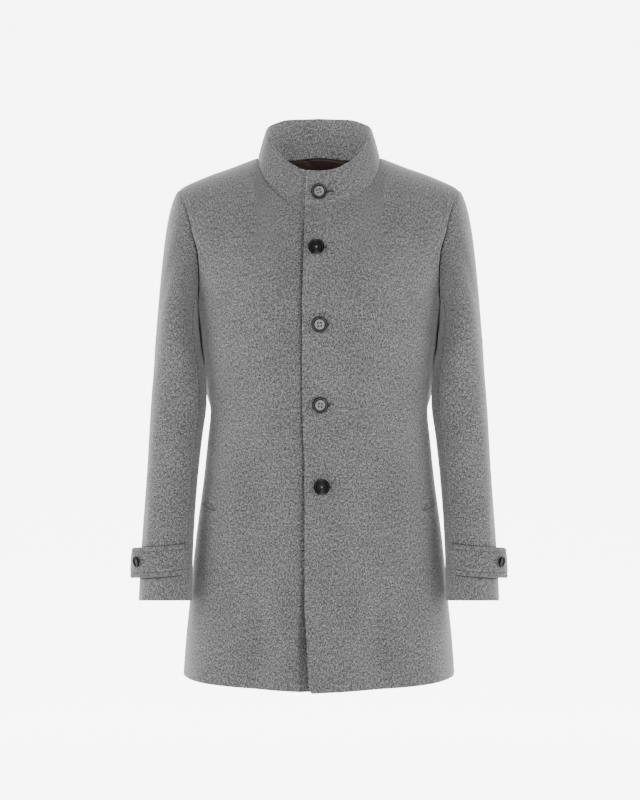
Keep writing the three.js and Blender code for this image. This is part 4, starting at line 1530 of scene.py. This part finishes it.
@dataclass
class CuffTabs:
    """Tabs that start at the sleeves' front seams and stand off at their free ends."""

    wall: float = 3.5
    start_angle: float = 223
    end_angle: float = 350
    top_z: float = -620.5
    bottom_z: float = -664.5
    climb: float = 9
    gap: float = 0.7
    stand_off: float = 12
    stand_off_from: float = 0.42
    stand_off_to: float = 1.05
    corner_angle: float = 6
    corner_from: float = 0.85
    inner_corner: float = 7
    stitch_inset: float = 6
    stitch_pitch: float = 3.1
    stitch_length: float = 2.4
    stitch_radius: float = 0.36
    groove_depth: float = 0.9
    groove_width: float = 1.3
    edge_out: float = 2.2
    edge_shadow_radii: tuple[float, float] = (0.75, 0.5)
    button_along: float = 0.785
    button_up: float = 0.54
    button_tip: float = 13
    button_droop: float = -0.17

    def base(self, along: np.ndarray, up: np.ndarray) -> np.ndarray:
        """Points of the sleeve right under the tab.

        Args:
            along: Shares of the tab's length.
            up: Shares of its width.

        Returns:
            Points on the wearer's left.
        """
        corner = self.corner_angle * np.abs(2 * up - 1) ** 3 * smooth(along, self.corner_from, 1)
        angle = self.start_angle + (self.end_angle - self.start_angle) * along - corner
        z = self.bottom_z + (self.top_z - self.bottom_z) * up + self.climb * (1 - along)
        rounding = self.inner_corner * (1 - smooth(along, 0, 0.07)) * (1 - smooth(up, 0, 0.25))
        return FORM.sleeve_ring(angle, z + rounding)

    def outward(self, along: np.ndarray, up: np.ndarray) -> np.ndarray:
        """Normals of the sleeve under the tab.

        Args:
            along: Shares of the tab's length.
            up: Shares of its width.

        Returns:
            Unit normals.
        """
        step = 1e-3
        side = self.base(along + step, up) - self.base(along - step, up)
        rise = self.base(along, up + step) - self.base(along, up - step)
        normal = np.cross(side, rise)
        return normal / np.linalg.norm(normal, axis=-1, keepdims=True)

    def point(self, along: np.ndarray, up: np.ndarray, lift: float) -> np.ndarray:
        """Points of the tab at a height over its underside.

        Args:
            along: Shares of the tab's length.
            up: Shares of its width.
            lift: Height over the underside.

        Returns:
            Points on the wearer's left.
        """
        along, up = np.broadcast_arrays(np.asarray(along, dtype=float), np.asarray(up, dtype=float))
        away = self.stand_off * smooth(along, self.stand_off_from, self.stand_off_to) ** 1.2
        height = (self.gap + away + lift)[..., None]
        return self.base(along, up) + self.outward(along, up) * height

    def button_seat(self) -> Seat:
        """Where the button sits on the wearer's left tab.

        Returns:
            The seat.
        """
        here = self.point(self.button_along, self.button_up, self.wall)
        ahead = self.point(self.button_along + 0.01, self.button_up, self.wall) - here
        normal = np.array([ahead[1], -ahead[0], 0]) / np.hypot(ahead[0], ahead[1])
        normal = normal + np.array([0, 0, self.button_droop])
        normal /= np.linalg.norm(normal)
        tip = math.radians(self.button_tip)
        turn = np.array([[math.cos(tip), -math.sin(tip), 0], [math.sin(tip), math.cos(tip), 0], [0, 0, 1]])
        return Seat(here, turn @ normal, ahead / np.linalg.norm(ahead))

    def build(self, finishes: Finishes, stitches: StitchNodes) -> None:
        """Builds the tabs with their topstitching, and dark tubes under their edges as painted shadow.

        Args:
            finishes: The coat's materials.
            stitches: What sews.
        """
        along, up = np.meshgrid(spread(70, True, True, 1 / 120), spread(52, True, True, 1 / 44))
        points = self.point(along, up, self.wall)
        inner = self.point(along, up, 0)
        normals = points - inner
        normals /= np.linalg.norm(normals, axis=-1, keepdims=True)
        length = self.top_z - self.bottom_z
        for name, side in (("left", 1), ("right", -1)):
            flip = np.array([side, 1, 1])
            groove = sum(np.exp(-(((up - at) * length / self.groove_width) ** 2)) for at in self.rows(length))
            relief = self.groove_depth * np.clip(groove, 0, 1)
            shell = ClothShell(f"cuff_tab_{name}_cloth", (points - normals * relief[..., None]) * flip,
                               normals * flip, self.wall, seam_roll=0.3, free_roll=0.5)
            obj = shell.build()
            dress(obj, finishes.wool, "wool", f"cuff_tab_{name}")
            row = StitchRow()
            for at in self.rows(length):
                line = np.linspace(0.05, 0.955, 60)
                path = self.point(line, np.full(60, at), self.wall - 0.5) * flip
                row.run(path, self.outward(line, np.full(60, at)) * flip, self.stitch_pitch)
            thread = stitches.sew(f"tab_stitches_{name}", row, self.stitch_length, self.stitch_radius,
                                  finishes.thread)
            # Dark tubes along the tab's lower and upper edges: painted shadow where the tab stands off the
            # sleeve.
            lines = [tube(path * flip, radius) for path, radius in zip(self.edges(), self.edge_shadow_radii)]
            sewn(f"tab_edge_shadow_{name}", lines, finishes.shadow)

    def edges(self) -> tuple[np.ndarray, np.ndarray]:
        """Lines where the tab's underside leaves the sleeve: below and at the seam, and above.

        Returns:
            Two lines of points.
        """
        out = self.edge_out / (self.top_z - self.bottom_z)
        low = np.linspace(0.75, 0.0, 50)
        rise = np.linspace(0.0, 1.0, 16)
        along = np.concatenate([low, 0 * rise - 0.5 * out])
        up = np.concatenate([0 * low - out, rise])
        return self.point(along, up, 0.5), self.point(low, 1 + out + 0 * low, 0.5)

    def rows(self, length: float) -> tuple[float, float]:
        """Shares of the tab's width at which its two stitch rows run."""
        return self.stitch_inset / length, 1 - self.stitch_inset / length


@dataclass
class Pockets:
    """Slanted pocket openings near the side seams: a narrow lip over a dark tube, painted shadow in the slit.
    """

    in_x: float = 163
    out_x: float = 181
    in_z: float = -556
    out_z: float = -548
    height: float = 4.4
    thick: float = 1.3
    gap: float = 0.5
    droop: float = 1.2
    slit_drop: float = 1.4
    slit_radius: float = 1.1

    def surface(self, x: np.ndarray, z: np.ndarray, lift: np.ndarray) -> tuple[np.ndarray, np.ndarray]:
        """Points over the front at a height above it, and its normals there.

        Args:
            x: Distances from the centre line.
            z: Levels.
            lift: Heights.

        Returns:
            Points and normals.
        """
        here = FORM.torso(x, z, Face.FRONT, 1)
        side = FORM.torso(x + 0.5, z, Face.FRONT, 1) - FORM.torso(x - 0.5, z, Face.FRONT, 1)
        up = FORM.torso(x, z + 0.5, Face.FRONT, 1) - FORM.torso(x, z - 0.5, Face.FRONT, 1)
        normal = np.cross(side, up)
        normal /= np.linalg.norm(normal, axis=-1, keepdims=True)
        return here + normal * np.asarray(lift)[..., None], normal

    def build(self, finishes: Finishes) -> None:
        """Builds both pockets.

        Args:
            finishes: The coat's materials.
        """
        along, up = np.meshgrid(np.linspace(0, 1, 25), np.linspace(0, 1, 9))
        full = np.sqrt(np.clip(1 - (2 * along - 1) ** 4, 0.05, 1))
        x = self.in_x + (self.out_x - self.in_x) * along
        droop = self.droop * np.sin(math.pi * along)
        z = self.in_z + (self.out_z - self.in_z) * along + (up - 0.5) * self.height * full - droop
        lift = self.gap + self.thick * (0.55 + 0.45 * (1 - up))
        points, normals = self.surface(x, z, lift)
        # The slit is a near-black tube under the lip: painted shadow of the opening.
        slit_x = np.linspace(self.in_x - 1, self.out_x + 1, 30)
        share = (slit_x - self.in_x) / (self.out_x - self.in_x)
        slit_z = self.in_z + (self.out_z - self.in_z) * share - self.height / 2 - self.slit_drop
        slit_z = slit_z - self.droop * np.sin(math.pi * np.clip(share, 0, 1))
        path, _ = self.surface(slit_x, slit_z, 0.15 + 0 * slit_x)
        for name, side in (("left", 1), ("right", -1)):
            flip = np.array([side, 1, 1])
            shell = ClothShell(f"pocket_welt_{name}_cloth", points * flip, normals * flip, self.thick * 0.8,
                               free_roll=0.25, roll_width=1.5)
            obj = shell.build()
            dress(obj, finishes.wool, "wool", f"pocket_welt_{name}")
            sewn(f"pocket_slit_shadow_{name}", [tube(path * flip, self.slit_radius)], finishes.shadow)


@dataclass
class NeckLining:
    """The part of the lining that shows in the back neck, and the blank satin half-moon on it."""

    wall: float = 1.0
    cloth: float = 2.5
    gap: float = 0.5
    columns: float = 5 / 14
    rows: float = 8 / 28
    patch_columns: float = 2.2 / 14
    patch_top: float = 0.02
    patch_drop: float = 2.1
    patch_lift: float = 1.6
    piping_lift: float = 2.0
    piping_radius: float = 1.3
    cut_rows: int = 28
    creases: tuple[Crease, ...] = (
        Crease(-60, -8, -22, -30, 4, -1.2),
        Crease(-40, 2, -28, -50, 5, 1.0),
        Crease(30, -2, 52, -34, 4, -1.2),
        Crease(10, -60, 60, -50, 8, 1.4),
        Crease(-70, -60, -10, -74, 8, 1.2),
        Crease(64, -10, 74, -60, 6, 1.2),
    )
    patch_creases: tuple[Crease, ...] = (
        Crease(-34, 34, -12, -2, 4, 2.6),
        Crease(-14, 46, 8, 12, 5, 1.8),
        Crease(10, 44, 26, 6, 4, 3.0),
        Crease(22, 30, 44, 14, 3, 2.0),
    )

    def grid(self, across: np.ndarray, up: np.ndarray) -> tuple[np.ndarray, np.ndarray]:
        """Points and normals of the back's outside; across is -1 to 1 from side to side.

        Args:
            across: Shares from side to side.
            up: Shares of the way up.

        Returns:
            Points and normals.
        """
        width = np.abs(across)
        points = FORM.half_panel(width, up, Face.BACK, 1)
        ahead = FORM.half_panel(width + 1e-3, up, Face.BACK, 1)
        above = FORM.half_panel(width, np.minimum(up + 1e-3, 1), Face.BACK, 1)
        below = FORM.half_panel(width, np.minimum(up + 1e-3, 1) - 2e-3, Face.BACK, 1)
        normal = np.cross(ahead - points, above - below)
        normal *= np.sign(normal[..., 1:2])
        normal /= np.linalg.norm(normal, axis=-1, keepdims=True)
        flip = np.stack([np.sign(across), 1 + 0 * across, 1 + 0 * across], axis=-1)
        normal[..., 0] = np.where(width < 0.01, 0, normal[..., 0])
        return points * flip, normal * flip

    def build(self, finishes: Finishes) -> None:
        """Builds the lining and its patch. Both face inward.

        Args:
            finishes: The coat's materials.
        """
        across, up = np.meshgrid(np.linspace(-1, 1, 91) * self.columns, 1 - self.rows * np.linspace(1, 0, 50))
        points, normals = self.grid(across, up)
        relief = sum(crease.relief(points[..., 0], points[..., 2]) for crease in self.creases)
        away = self.cloth + self.gap + self.wall
        inside = points - normals * (away + np.clip(relief, -0.1, 2))[..., None]
        shell = ClothShell("lining_cloth", inside, -normals, self.wall, free_roll=0.1)
        obj = shell.build()
        dress(obj, finishes.lining, "lining", "lining")
        along, down = np.meshgrid(np.linspace(-1, 1, 49), np.linspace(0, 1, 21))
        drop = self.patch_drop * np.sqrt(1 - (0.985 * along) ** 2)
        up = 1 - (self.patch_top + drop * (1 - down)) / self.cut_rows
        points, normals = self.grid(along * self.patch_columns, up)
        folds = sum(crease.relief(points[..., 0], points[..., 2]) for crease in self.patch_creases)
        lift = away + self.patch_lift + np.clip(folds, 0, 4)
        inside = points - normals * lift[..., None]
        shell = ClothShell("neck_patch_cloth", inside, -normals, self.wall * 0.8, free_roll=0.2)
        patch = shell.build()
        dress(patch, finishes.patch, "satin_patch", "neck_patch")
        rim_along = np.linspace(-0.97, 0.97, 60)
        rim_up = 1 - (self.patch_top + 0.1 + 0 * rim_along) / self.cut_rows
        points, normals = self.grid(rim_along * self.patch_columns, rim_up)
        path = points - normals * (away + self.piping_lift)
        rim = sewn("neck_patch_piping", [tube(path, self.piping_radius)], finishes.piping)


@dataclass(frozen=True)
class ButtonKind:
    """One kind of button: its size, how it is sewn on, and where its painted highlight falls and how strong
    it is.
    """

    diameter: float
    lift: float
    hole_radius: float = 0.066
    hole_spread: float = 0.092
    thickness: float = 0.18
    thread_reach: float = 0.75
    thread_share: float = 0.009
    wedge: float = 40
    painted_highlight: float = 1.0

    def corners(self, twist: float) -> list[np.ndarray]:
        """Centres of the four holes, turned by some degrees.

        Args:
            twist: The turn in degrees.

        Returns:
            Four places round the button's axis.
        """
        reach = self.diameter * self.hole_spread * math.sqrt(2)
        angles = [math.radians(twist + 45 + 90 * corner) for corner in range(4)]
        return [np.array([reach * math.cos(angle), reach * math.sin(angle), 0]) for angle in angles]


@dataclass
class Buttons:
    """The five front buttons and the two cuff buttons, with their holes, threads and buttonholes."""

    large: ButtonKind = ButtonKind(25.0, 0.9)
    large_dark: ButtonKind = ButtonKind(
        25.0, 0.9, hole_spread=0.07, thread_reach=0.5, thread_share=0.014, wedge=-85)
    small: ButtonKind = ButtonKind(
        17.5, 1.5, hole_spread=0.07, thread_reach=0.5, thread_share=0.012, painted_highlight=0)
    profile: tuple[tuple[float, float], ...] = (
        (0, 0), (0.5, 0), (0.8, 0), (0.86, 0.06), (0.95, 0.24), (1.0, 0.45), (1.0, 0.55), (0.985, 0.75),
        (0.95, 0.93), (0.9, 1.0), (0.82, 0.99), (0.75, 0.9), (0.71, 0.74), (0.685, 0.6), (0.66, 0.58),
        (0.63, 0.66), (0.6, 0.68), (0.4, 0.64), (0.2, 0.62), (0, 0.62))
    places: tuple[tuple[float, float], ...] = ((-4, -152), (1, -271), (2, -395), (4.3, -521))
    dark: tuple[bool, ...] = (False, True, False, False, True)
    twists: tuple[float, ...] = (18, 40, 4, -6, 12)
    cuff_twist: float = 10
    collar_height: float = 0.36
    collar_band: float = 58
    slit_in: float = -10
    slit_out: tuple[float, ...] = (21, 16.5, 15.5, 16, 15.5)
    slit_radius: float = 0.8
    stitch_pitch: float = 0.75
    stitch_from: float = 0.8
    stitch_middle: float = 1.35
    stitch_to: float = 2.0
    stitch_length: float = 1.5
    stitch_radius: float = 0.3
    highlight_sharpness: int = 14
    sharp_angle: float = 38

    def front_seat(self, x: float, z: float) -> Seat:
        """Where a button sits on the upper front.

        Args:
            x: Distance from the centre line.
            z: Level.

        Returns:
            The seat.
        """
        if z > FORM.underarm_z:
            top = float(FORM.shoulder.at("z", abs(x)))
            rise = math.degrees(math.asin((z - FORM.underarm_z) / (top - FORM.underarm_z)))
            return Seat.on(lambda u, v: FORM.chest(np.float64(u), np.float64(v), Face.FRONT), x, rise,
                           np.array([0, 0, FORM.underarm_z]))
        return Seat.on(lambda u, v: FORM.torso(np.float64(u), np.float64(v), Face.FRONT, 1), x, z,
                       np.array([0, 0, z]))

    def collar_seat(self, collar: StandCollar) -> Seat:
        """Where the top button sits on the collar.

        Args:
            collar: The collar.

        Returns:
            The seat.
        """
        here = collar.band(np.float64(0), np.float64(self.collar_height))
        up = collar.band(np.float64(0), np.float64(self.collar_height + 0.1)) - here
        normal = np.array([0, -up[2], up[1]])
        return Seat(here, normal / np.linalg.norm(normal), np.array([1.0, 0, 0]))

    def seats(self, collar: StandCollar) -> list[Seat]:
        """The five front seats, top to bottom."""
        return [self.collar_seat(collar), *(self.front_seat(x, z) for x, z in self.places)]

    def make(self, name: str, node: str, seat: Seat, kind: ButtonKind, twist: float,
             material: bpy.types.Material, slot: str) -> None:
        """Makes one button with four real holes.

        Args:
            name: The new object's name.
            node: The CAD node that it stands for.
            seat: Where it sits.
            kind: Its size.
            twist: How far its holes are turned, in degrees.
            material: Its material.
            slot: The record's slot.
        """
        radius, thick = kind.diameter / 2, kind.diameter * kind.thickness
        profile = np.array(self.profile) * np.array([radius, thick])
        body = mesh_object(name, *turned(profile, 64))
        hole = kind.diameter * kind.hole_radius
        pin = np.array([[0, -1.0], [hole, -1.0], [hole, thick + 1], [0, thick + 1]])
        vertices, faces = turned(pin, 20)
        pins = [(vertices + corner, faces) for corner in kind.corners(twist)]
        cutter = mesh_object(name + "_pins", *joined(pins))
        cut = body.modifiers.new("holes", "BOOLEAN")
        cut.object = cutter
        cut.solver = "EXACT"
        graph = bpy.context.evaluated_depsgraph_get()
        mesh = bpy.data.meshes.new_from_object(body.evaluated_get(graph), depsgraph=graph)
        bpy.data.objects.remove(body)
        bpy.data.objects.remove(cutter)
        mesh.name = name
        local = np.empty(len(mesh.vertices) * 3)
        mesh.vertices.foreach_get("co", local)
        local = local.reshape(-1, 3) / MM
        share = np.hypot(local[:, 0], local[:, 1]) / radius
        # Painted highlight: a narrow sector towards one bearing, half as strong opposite, growing towards the
        # rim.
        bearing = np.arctan2(local[:, 1], local[:, 0]) - math.radians(kind.wedge)
        near, far = np.clip(np.cos(bearing), 0, 1), np.clip(-np.cos(bearing), 0, 1)
        highlight_fan = (near ** self.highlight_sharpness + 0.5 * far ** self.highlight_sharpness) * kind.painted_highlight
        for key, values in (("reach", share), ("wedge", highlight_fan * share)):
            mesh.attributes.new(key, "FLOAT", "POINT").data.foreach_set("value", values.astype(np.float32))
        seated = seat.lay(local + np.array([0, 0, kind.lift])) * MM
        mesh.vertices.foreach_set("co", seated.astype(np.float32).ravel())
        if np.linalg.det(seat.frame()) < 0:
            mesh.flip_normals()
        mesh.shade_smooth()
        mesh.set_sharp_from_angle(angle=math.radians(self.sharp_angle))
        mesh.update()
        obj = bpy.data.objects.new(name, mesh)
        bpy.context.scene.collection.objects.link(obj)
        dress(obj, material, slot, node)

    def threads(self, name: str, seat: Seat, kind: ButtonKind, twist: float,
                material: bpy.types.Material) -> bpy.types.Object:
        """Crossed threads through the holes.

        Args:
            name: The new object's name.
            seat: Where the button sits.
            kind: The button's kind.
            twist: How far it is turned, in degrees.
            material: The thread's material.

        Returns:
            The threads.
        """
        thick = kind.diameter * kind.thickness
        reach = kind.diameter * kind.hole_spread * math.sqrt(2)
        floor = kind.lift + thick * 0.62
        parts = []
        for pair in range(2):
            angle = math.radians(twist + 45 + 90 * pair)
            for strand in (-0.5, 0.5):
                along = np.linspace(-1, 1, 15) * kind.thread_reach
                offset = strand * kind.diameter * 0.016
                arch = 0.35 * (1 - (along / kind.thread_reach) ** 4) + 0.22 * pair
                x = reach * along * math.cos(angle) - offset * math.sin(angle)
                y = reach * along * math.sin(angle) + offset * math.cos(angle)
                drop = np.where(np.abs(along) > 0.97 * kind.thread_reach, -1.2, 0)
                path = np.stack([x, y, floor + arch + drop], axis=-1)
                parts.append(tube(path, kind.diameter * kind.thread_share, 6))
        return self.seated(name, seat, parts, material)

    def shank(self, name: str, seat: Seat, kind: ButtonKind, twist: float,
              material: bpy.types.Material) -> bpy.types.Object:
        """A short thread shank under the button and stems down its holes; their dark colour is painted shade,
        which makes the holes read dark.
            twist: How far it is turned, in degrees.
            material: The thread's material.

        Returns:
            The shank.
        """
        wide, waist = kind.diameter * 0.22, kind.diameter * 0.09
        profile = np.array([[0, -0.2], [waist, -0.2], [waist, kind.lift * 0.4], [wide, kind.lift * 0.8],
                            [wide, kind.lift + 0.1], [0, kind.lift + 0.1]])
        parts = [turned(profile, 24)]
        stem = kind.diameter * kind.hole_radius * 0.94
        top = kind.lift + kind.diameter * kind.thickness * 0.48
        vertices, faces = turned(np.array([[0, kind.lift], [stem, kind.lift], [stem, top], [0, top]]), 16)
        parts += [(vertices + corner, faces) for corner in kind.corners(twist)]
        return self.seated(name, seat, parts, material)

    def seated(self, name: str, seat: Seat, parts: list[tuple[np.ndarray, list]],
               material: bpy.types.Material) -> bpy.types.Object:
        """Lays a mesh of thread on a seat.

        Args:
            name: The new object's name.
            seat: Where the button sits.
            parts: Sets of vertices and faces on the seat.
            material: The thread's material.

        Returns:
            The mesh.
        """
        order = -1 if np.linalg.det(seat.frame()) < 0 else 1
        laid = [(seat.lay(points), [face[::order] for face in faces]) for points, faces in parts]
        return sewn(name, laid, material, 60)

    def buttonhole(self, surface: SurfacePlace, out: float, row: StitchRow) -> tuple[np.ndarray, list]:
        """Lays a dark tube beside a button, painted shade in the buttonhole's slit, and its close stitches
        round it.

        Args:
            surface: Function from a sideways distance and a height to a point and normal on the cloth.
            out: How far the slit reaches past the button's centre.
            row: Where the stitches go.

        Returns:
            The slit's vertices and faces.
        """
        line = np.linspace(self.slit_in, out, 24)
        for sign in (-1, 1):
            for x in np.arange(self.slit_in, out, self.stitch_pitch):
                place, normal = surface(x, sign * self.stitch_middle)
                low, _ = surface(x, sign * self.stitch_from)
                high, _ = surface(x, sign * self.stitch_to)
                row.add(place, high - low, normal)
        path = np.array([surface(x, 0)[0] for x in line])
        return tube(path, self.slit_radius)

    def build(self, finishes: Finishes, collar: StandCollar, tabs: CuffTabs, stitches: StitchNodes) -> None:
        """Builds all buttons with their threads and buttonholes.

        Args:
            finishes: The coat's materials.
            collar: The collar, which holds the top one.
            tabs: The tabs, which hold the cuff buttons.
            stitches: What sews.
        """
        row = StitchRow()
        slits = []
        for i, (seat, dark, twist) in enumerate(zip(self.seats(collar), self.dark, self.twists), start=1):
            material = finishes.horn_dark if dark else finishes.horn_grey
            slot = "horn_dark" if dark else "horn_grey"
            kind = self.large_dark if dark else self.large
            self.make(f"front_button_{i}", f"button_front_{i}", seat, kind, twist, material, slot)
            self.threads(f"front_button_{i}_thread", seat, kind, twist, finishes.thread_light)
            # The shank's dark colour is painted shade in the button holes.
            self.shank(f"front_button_{i}_shank", seat, kind, twist, finishes.shadow)
            slits.append(self.buttonhole(self.cloth_by(i, seat, collar), self.slit_out[i - 1], row))
        # The buttonhole slits are painted shade: near-black tubes along each cut.
        sewn("buttonhole_slit_shadows", slits, finishes.shadow)
        stitches.sew("buttonhole_stitches", row, self.stitch_length, self.stitch_radius, finishes.thread)
        seat = tabs.button_seat()
        for name, place in (("left", seat), ("right", seat.mirrored())):
            self.make(f"cuff_button_{name}", f"button_cuff_{name}", place, self.small, self.cuff_twist,
                      finishes.horn_dark, "horn_dark")
            self.threads(f"cuff_button_{name}_thread", place, self.small, self.cuff_twist,
                         finishes.thread_light)
            self.shank(f"cuff_button_{name}_shank", place, self.small, self.cuff_twist, finishes.shadow)

    def cloth_by(self, number: int, seat: Seat, collar: StandCollar) -> SurfacePlace:
        """Gives the cloth's surface round a front button.

        Args:
            number: The button's number from the top.
            seat: Its seat.
            collar: The collar, under the top button.

        Returns:
            Function from a sideways distance and a height to a point and normal.
        """
        def near(x: float, up: float) -> tuple[np.ndarray, np.ndarray]:
            """A point and normal on the cloth at a distance from the seat."""
            if number == 1:
                turn = math.degrees(math.asin(x / (collar.top_half_width + 6))) + 1
                height = np.float64(self.collar_height + up / self.collar_band)
                here = collar.band(np.float64(turn), height)
                ahead = collar.band(np.float64(turn + 1), height) - here
                normal = np.cross(ahead, np.array([0, 0, 1.0]))
                normal /= np.linalg.norm(normal)
                return here + normal * 1.15, normal
            place = self.front_seat(seat.point[0] + x, seat.point[2] + up)
            return place.point + place.normal * 0.1, place.normal
        return near


@dataclass(frozen=True)
class Lamp:
    """A soft light: where it stands, what it faces, its two sides in metres and its power."""

    name: str
    place: tuple[float, float, float]
    sides: tuple[float, float]
    power: float
    aim: tuple[float, float, float] = (0, 0, -0.4)

    def build(self) -> None:
        """Adds the light, which lights the coat but isn't seen itself."""
        data = bpy.data.lights.new(self.name, "AREA")
        data.shape = "RECTANGLE"
        data.size, data.size_y = self.sides
        data.energy = self.power
        lamp = bpy.data.objects.new(self.name, data)
        lamp.location = self.place
        lamp.rotation_euler = (Vector(self.aim) - Vector(self.place)).to_track_quat("-Z", "Y").to_euler()
        lamp.visible_camera = False
        bpy.context.scene.collection.objects.link(lamp)


@dataclass
class Studio:
    """Camera, backdrop and lights. The last lamp stands inside the collar's front, for its inside."""

    distance: float = 3.4
    axis_x: float = 0.0016
    axis_z: float = -0.387
    picture_height: float = 1.28
    sensor: float = 36.0
    floor_z: float = -2.2
    wall_y: float = 5.2
    wall_top: float = 8.6
    half_width: float = 7.2
    curve: float = 0.5
    wall_glow: float = 6.4
    sky: float = 0.3
    lamps: tuple[Lamp, ...] = (
        Lamp("top", (0.0, -1.4, 2.2), (2.4, 2.4), 9),
        Lamp("side_left", (-2.4, -0.85, 0.1), (1.8, 1.8), 56),
        Lamp("side_right", (2.4, -0.85, 0.1), (1.8, 1.8), 54),
        Lamp("front", (0.0, -3.9, -0.9), (2.0, 2.0), 41),
        Lamp("collar_light", (0, -0.068, -0.052), (0.1, 0.03), 0.145, (0, 0.07, 0.03)),
    )

    def camera(self) -> None:
        """Sets a level camera on the photograph's axis."""
        data = bpy.data.cameras.new("camera")
        data.sensor_fit = "VERTICAL"
        data.sensor_height = self.sensor
        data.lens = self.sensor * self.distance / self.picture_height
        data.clip_end = 60
        camera = bpy.data.objects.new("camera", data)
        camera.location = (self.axis_x, -self.distance, self.axis_z)
        camera.rotation_euler = (math.pi / 2, 0, 0)
        bpy.context.scene.collection.objects.link(camera)
        bpy.context.scene.camera = camera

    def backdrop(self) -> None:
        """Lays a plain pale floor that curves up into a wall, lit from inside like a light table."""
        foot = [(-9.0, self.floor_z), (self.wall_y - self.curve, self.floor_z)]
        bend = []
        for step in range(13):
            turn = math.pi / 2 * step / 12
            bend.append((self.wall_y - self.curve + self.curve * math.sin(turn),
                         self.floor_z + self.curve * (1 - math.cos(turn))))
        self.sheet("floor", foot, 0.0)
        self.sheet("wall", [*bend, (self.wall_y, self.wall_top)], self.wall_glow)

    def sheet(self, name: str, profile: list[tuple[float, float]], glow: float) -> None:
        """Adds one strip of the backdrop along a profile of (y, z) places.

        Args:
            name: Its name.
            profile: Places, from front to top.
            glow: How brightly it gives light.
        """
        mesh = bpy.data.meshes.new(name)
        vertices = [(x, y, z) for y, z in profile for x in (-self.half_width, self.half_width)]
        faces = [(2 * i, 2 * i + 1, 2 * i + 3, 2 * i + 2) for i in range(len(profile) - 1)]
        mesh.from_pydata(vertices, [], faces)
        mesh.shade_smooth()
        obj = bpy.data.objects.new(name, mesh)
        bpy.context.scene.collection.objects.link(obj)
        shader = Shader(name + "_paper")
        paper = shader.noise(shader.place(), 3, 2, 0.5)
        tone = shader.ramp(paper, [(0.3, grey(0.80)), (0.7, grey(0.81))])
        shader.link("Base Color", tone)
        shader.set(Roughness=1.0, Specular_IOR_Level=0.0, Emission_Color=(1, 1, 1, 1), Emission_Strength=glow)
        mesh.materials.append(shader.material)

    def build(self) -> None:
        """Builds the studio."""
        self.camera()
        self.backdrop()
        world = bpy.data.worlds.new("studio")
        world.use_nodes = True
        world.node_tree.nodes["Background"].inputs[0].default_value = (1, 1, 1, 1)
        world.node_tree.nodes["Background"].inputs[1].default_value = self.sky
        bpy.context.scene.world = world
        for lamp in self.lamps:
            lamp.build()


def main() -> None:
    """Builds the studio and the coat, piece by piece."""
    logging.basicConfig(level=logging.INFO, format="%(message)s")
    Studio().build()
    finishes = Finishes()
    BodyPanels().build(finishes)
    Sleeves().build(finishes)
    collar = StandCollar()
    collar.build(finishes)
    stitches = StitchNodes()
    tabs = CuffTabs()
    tabs.build(finishes, stitches)
    Pockets().build(finishes)
    NeckLining().build(finishes)
    Buttons().build(finishes, collar, tabs, stitches)


if __name__ == "__main__":
    main()
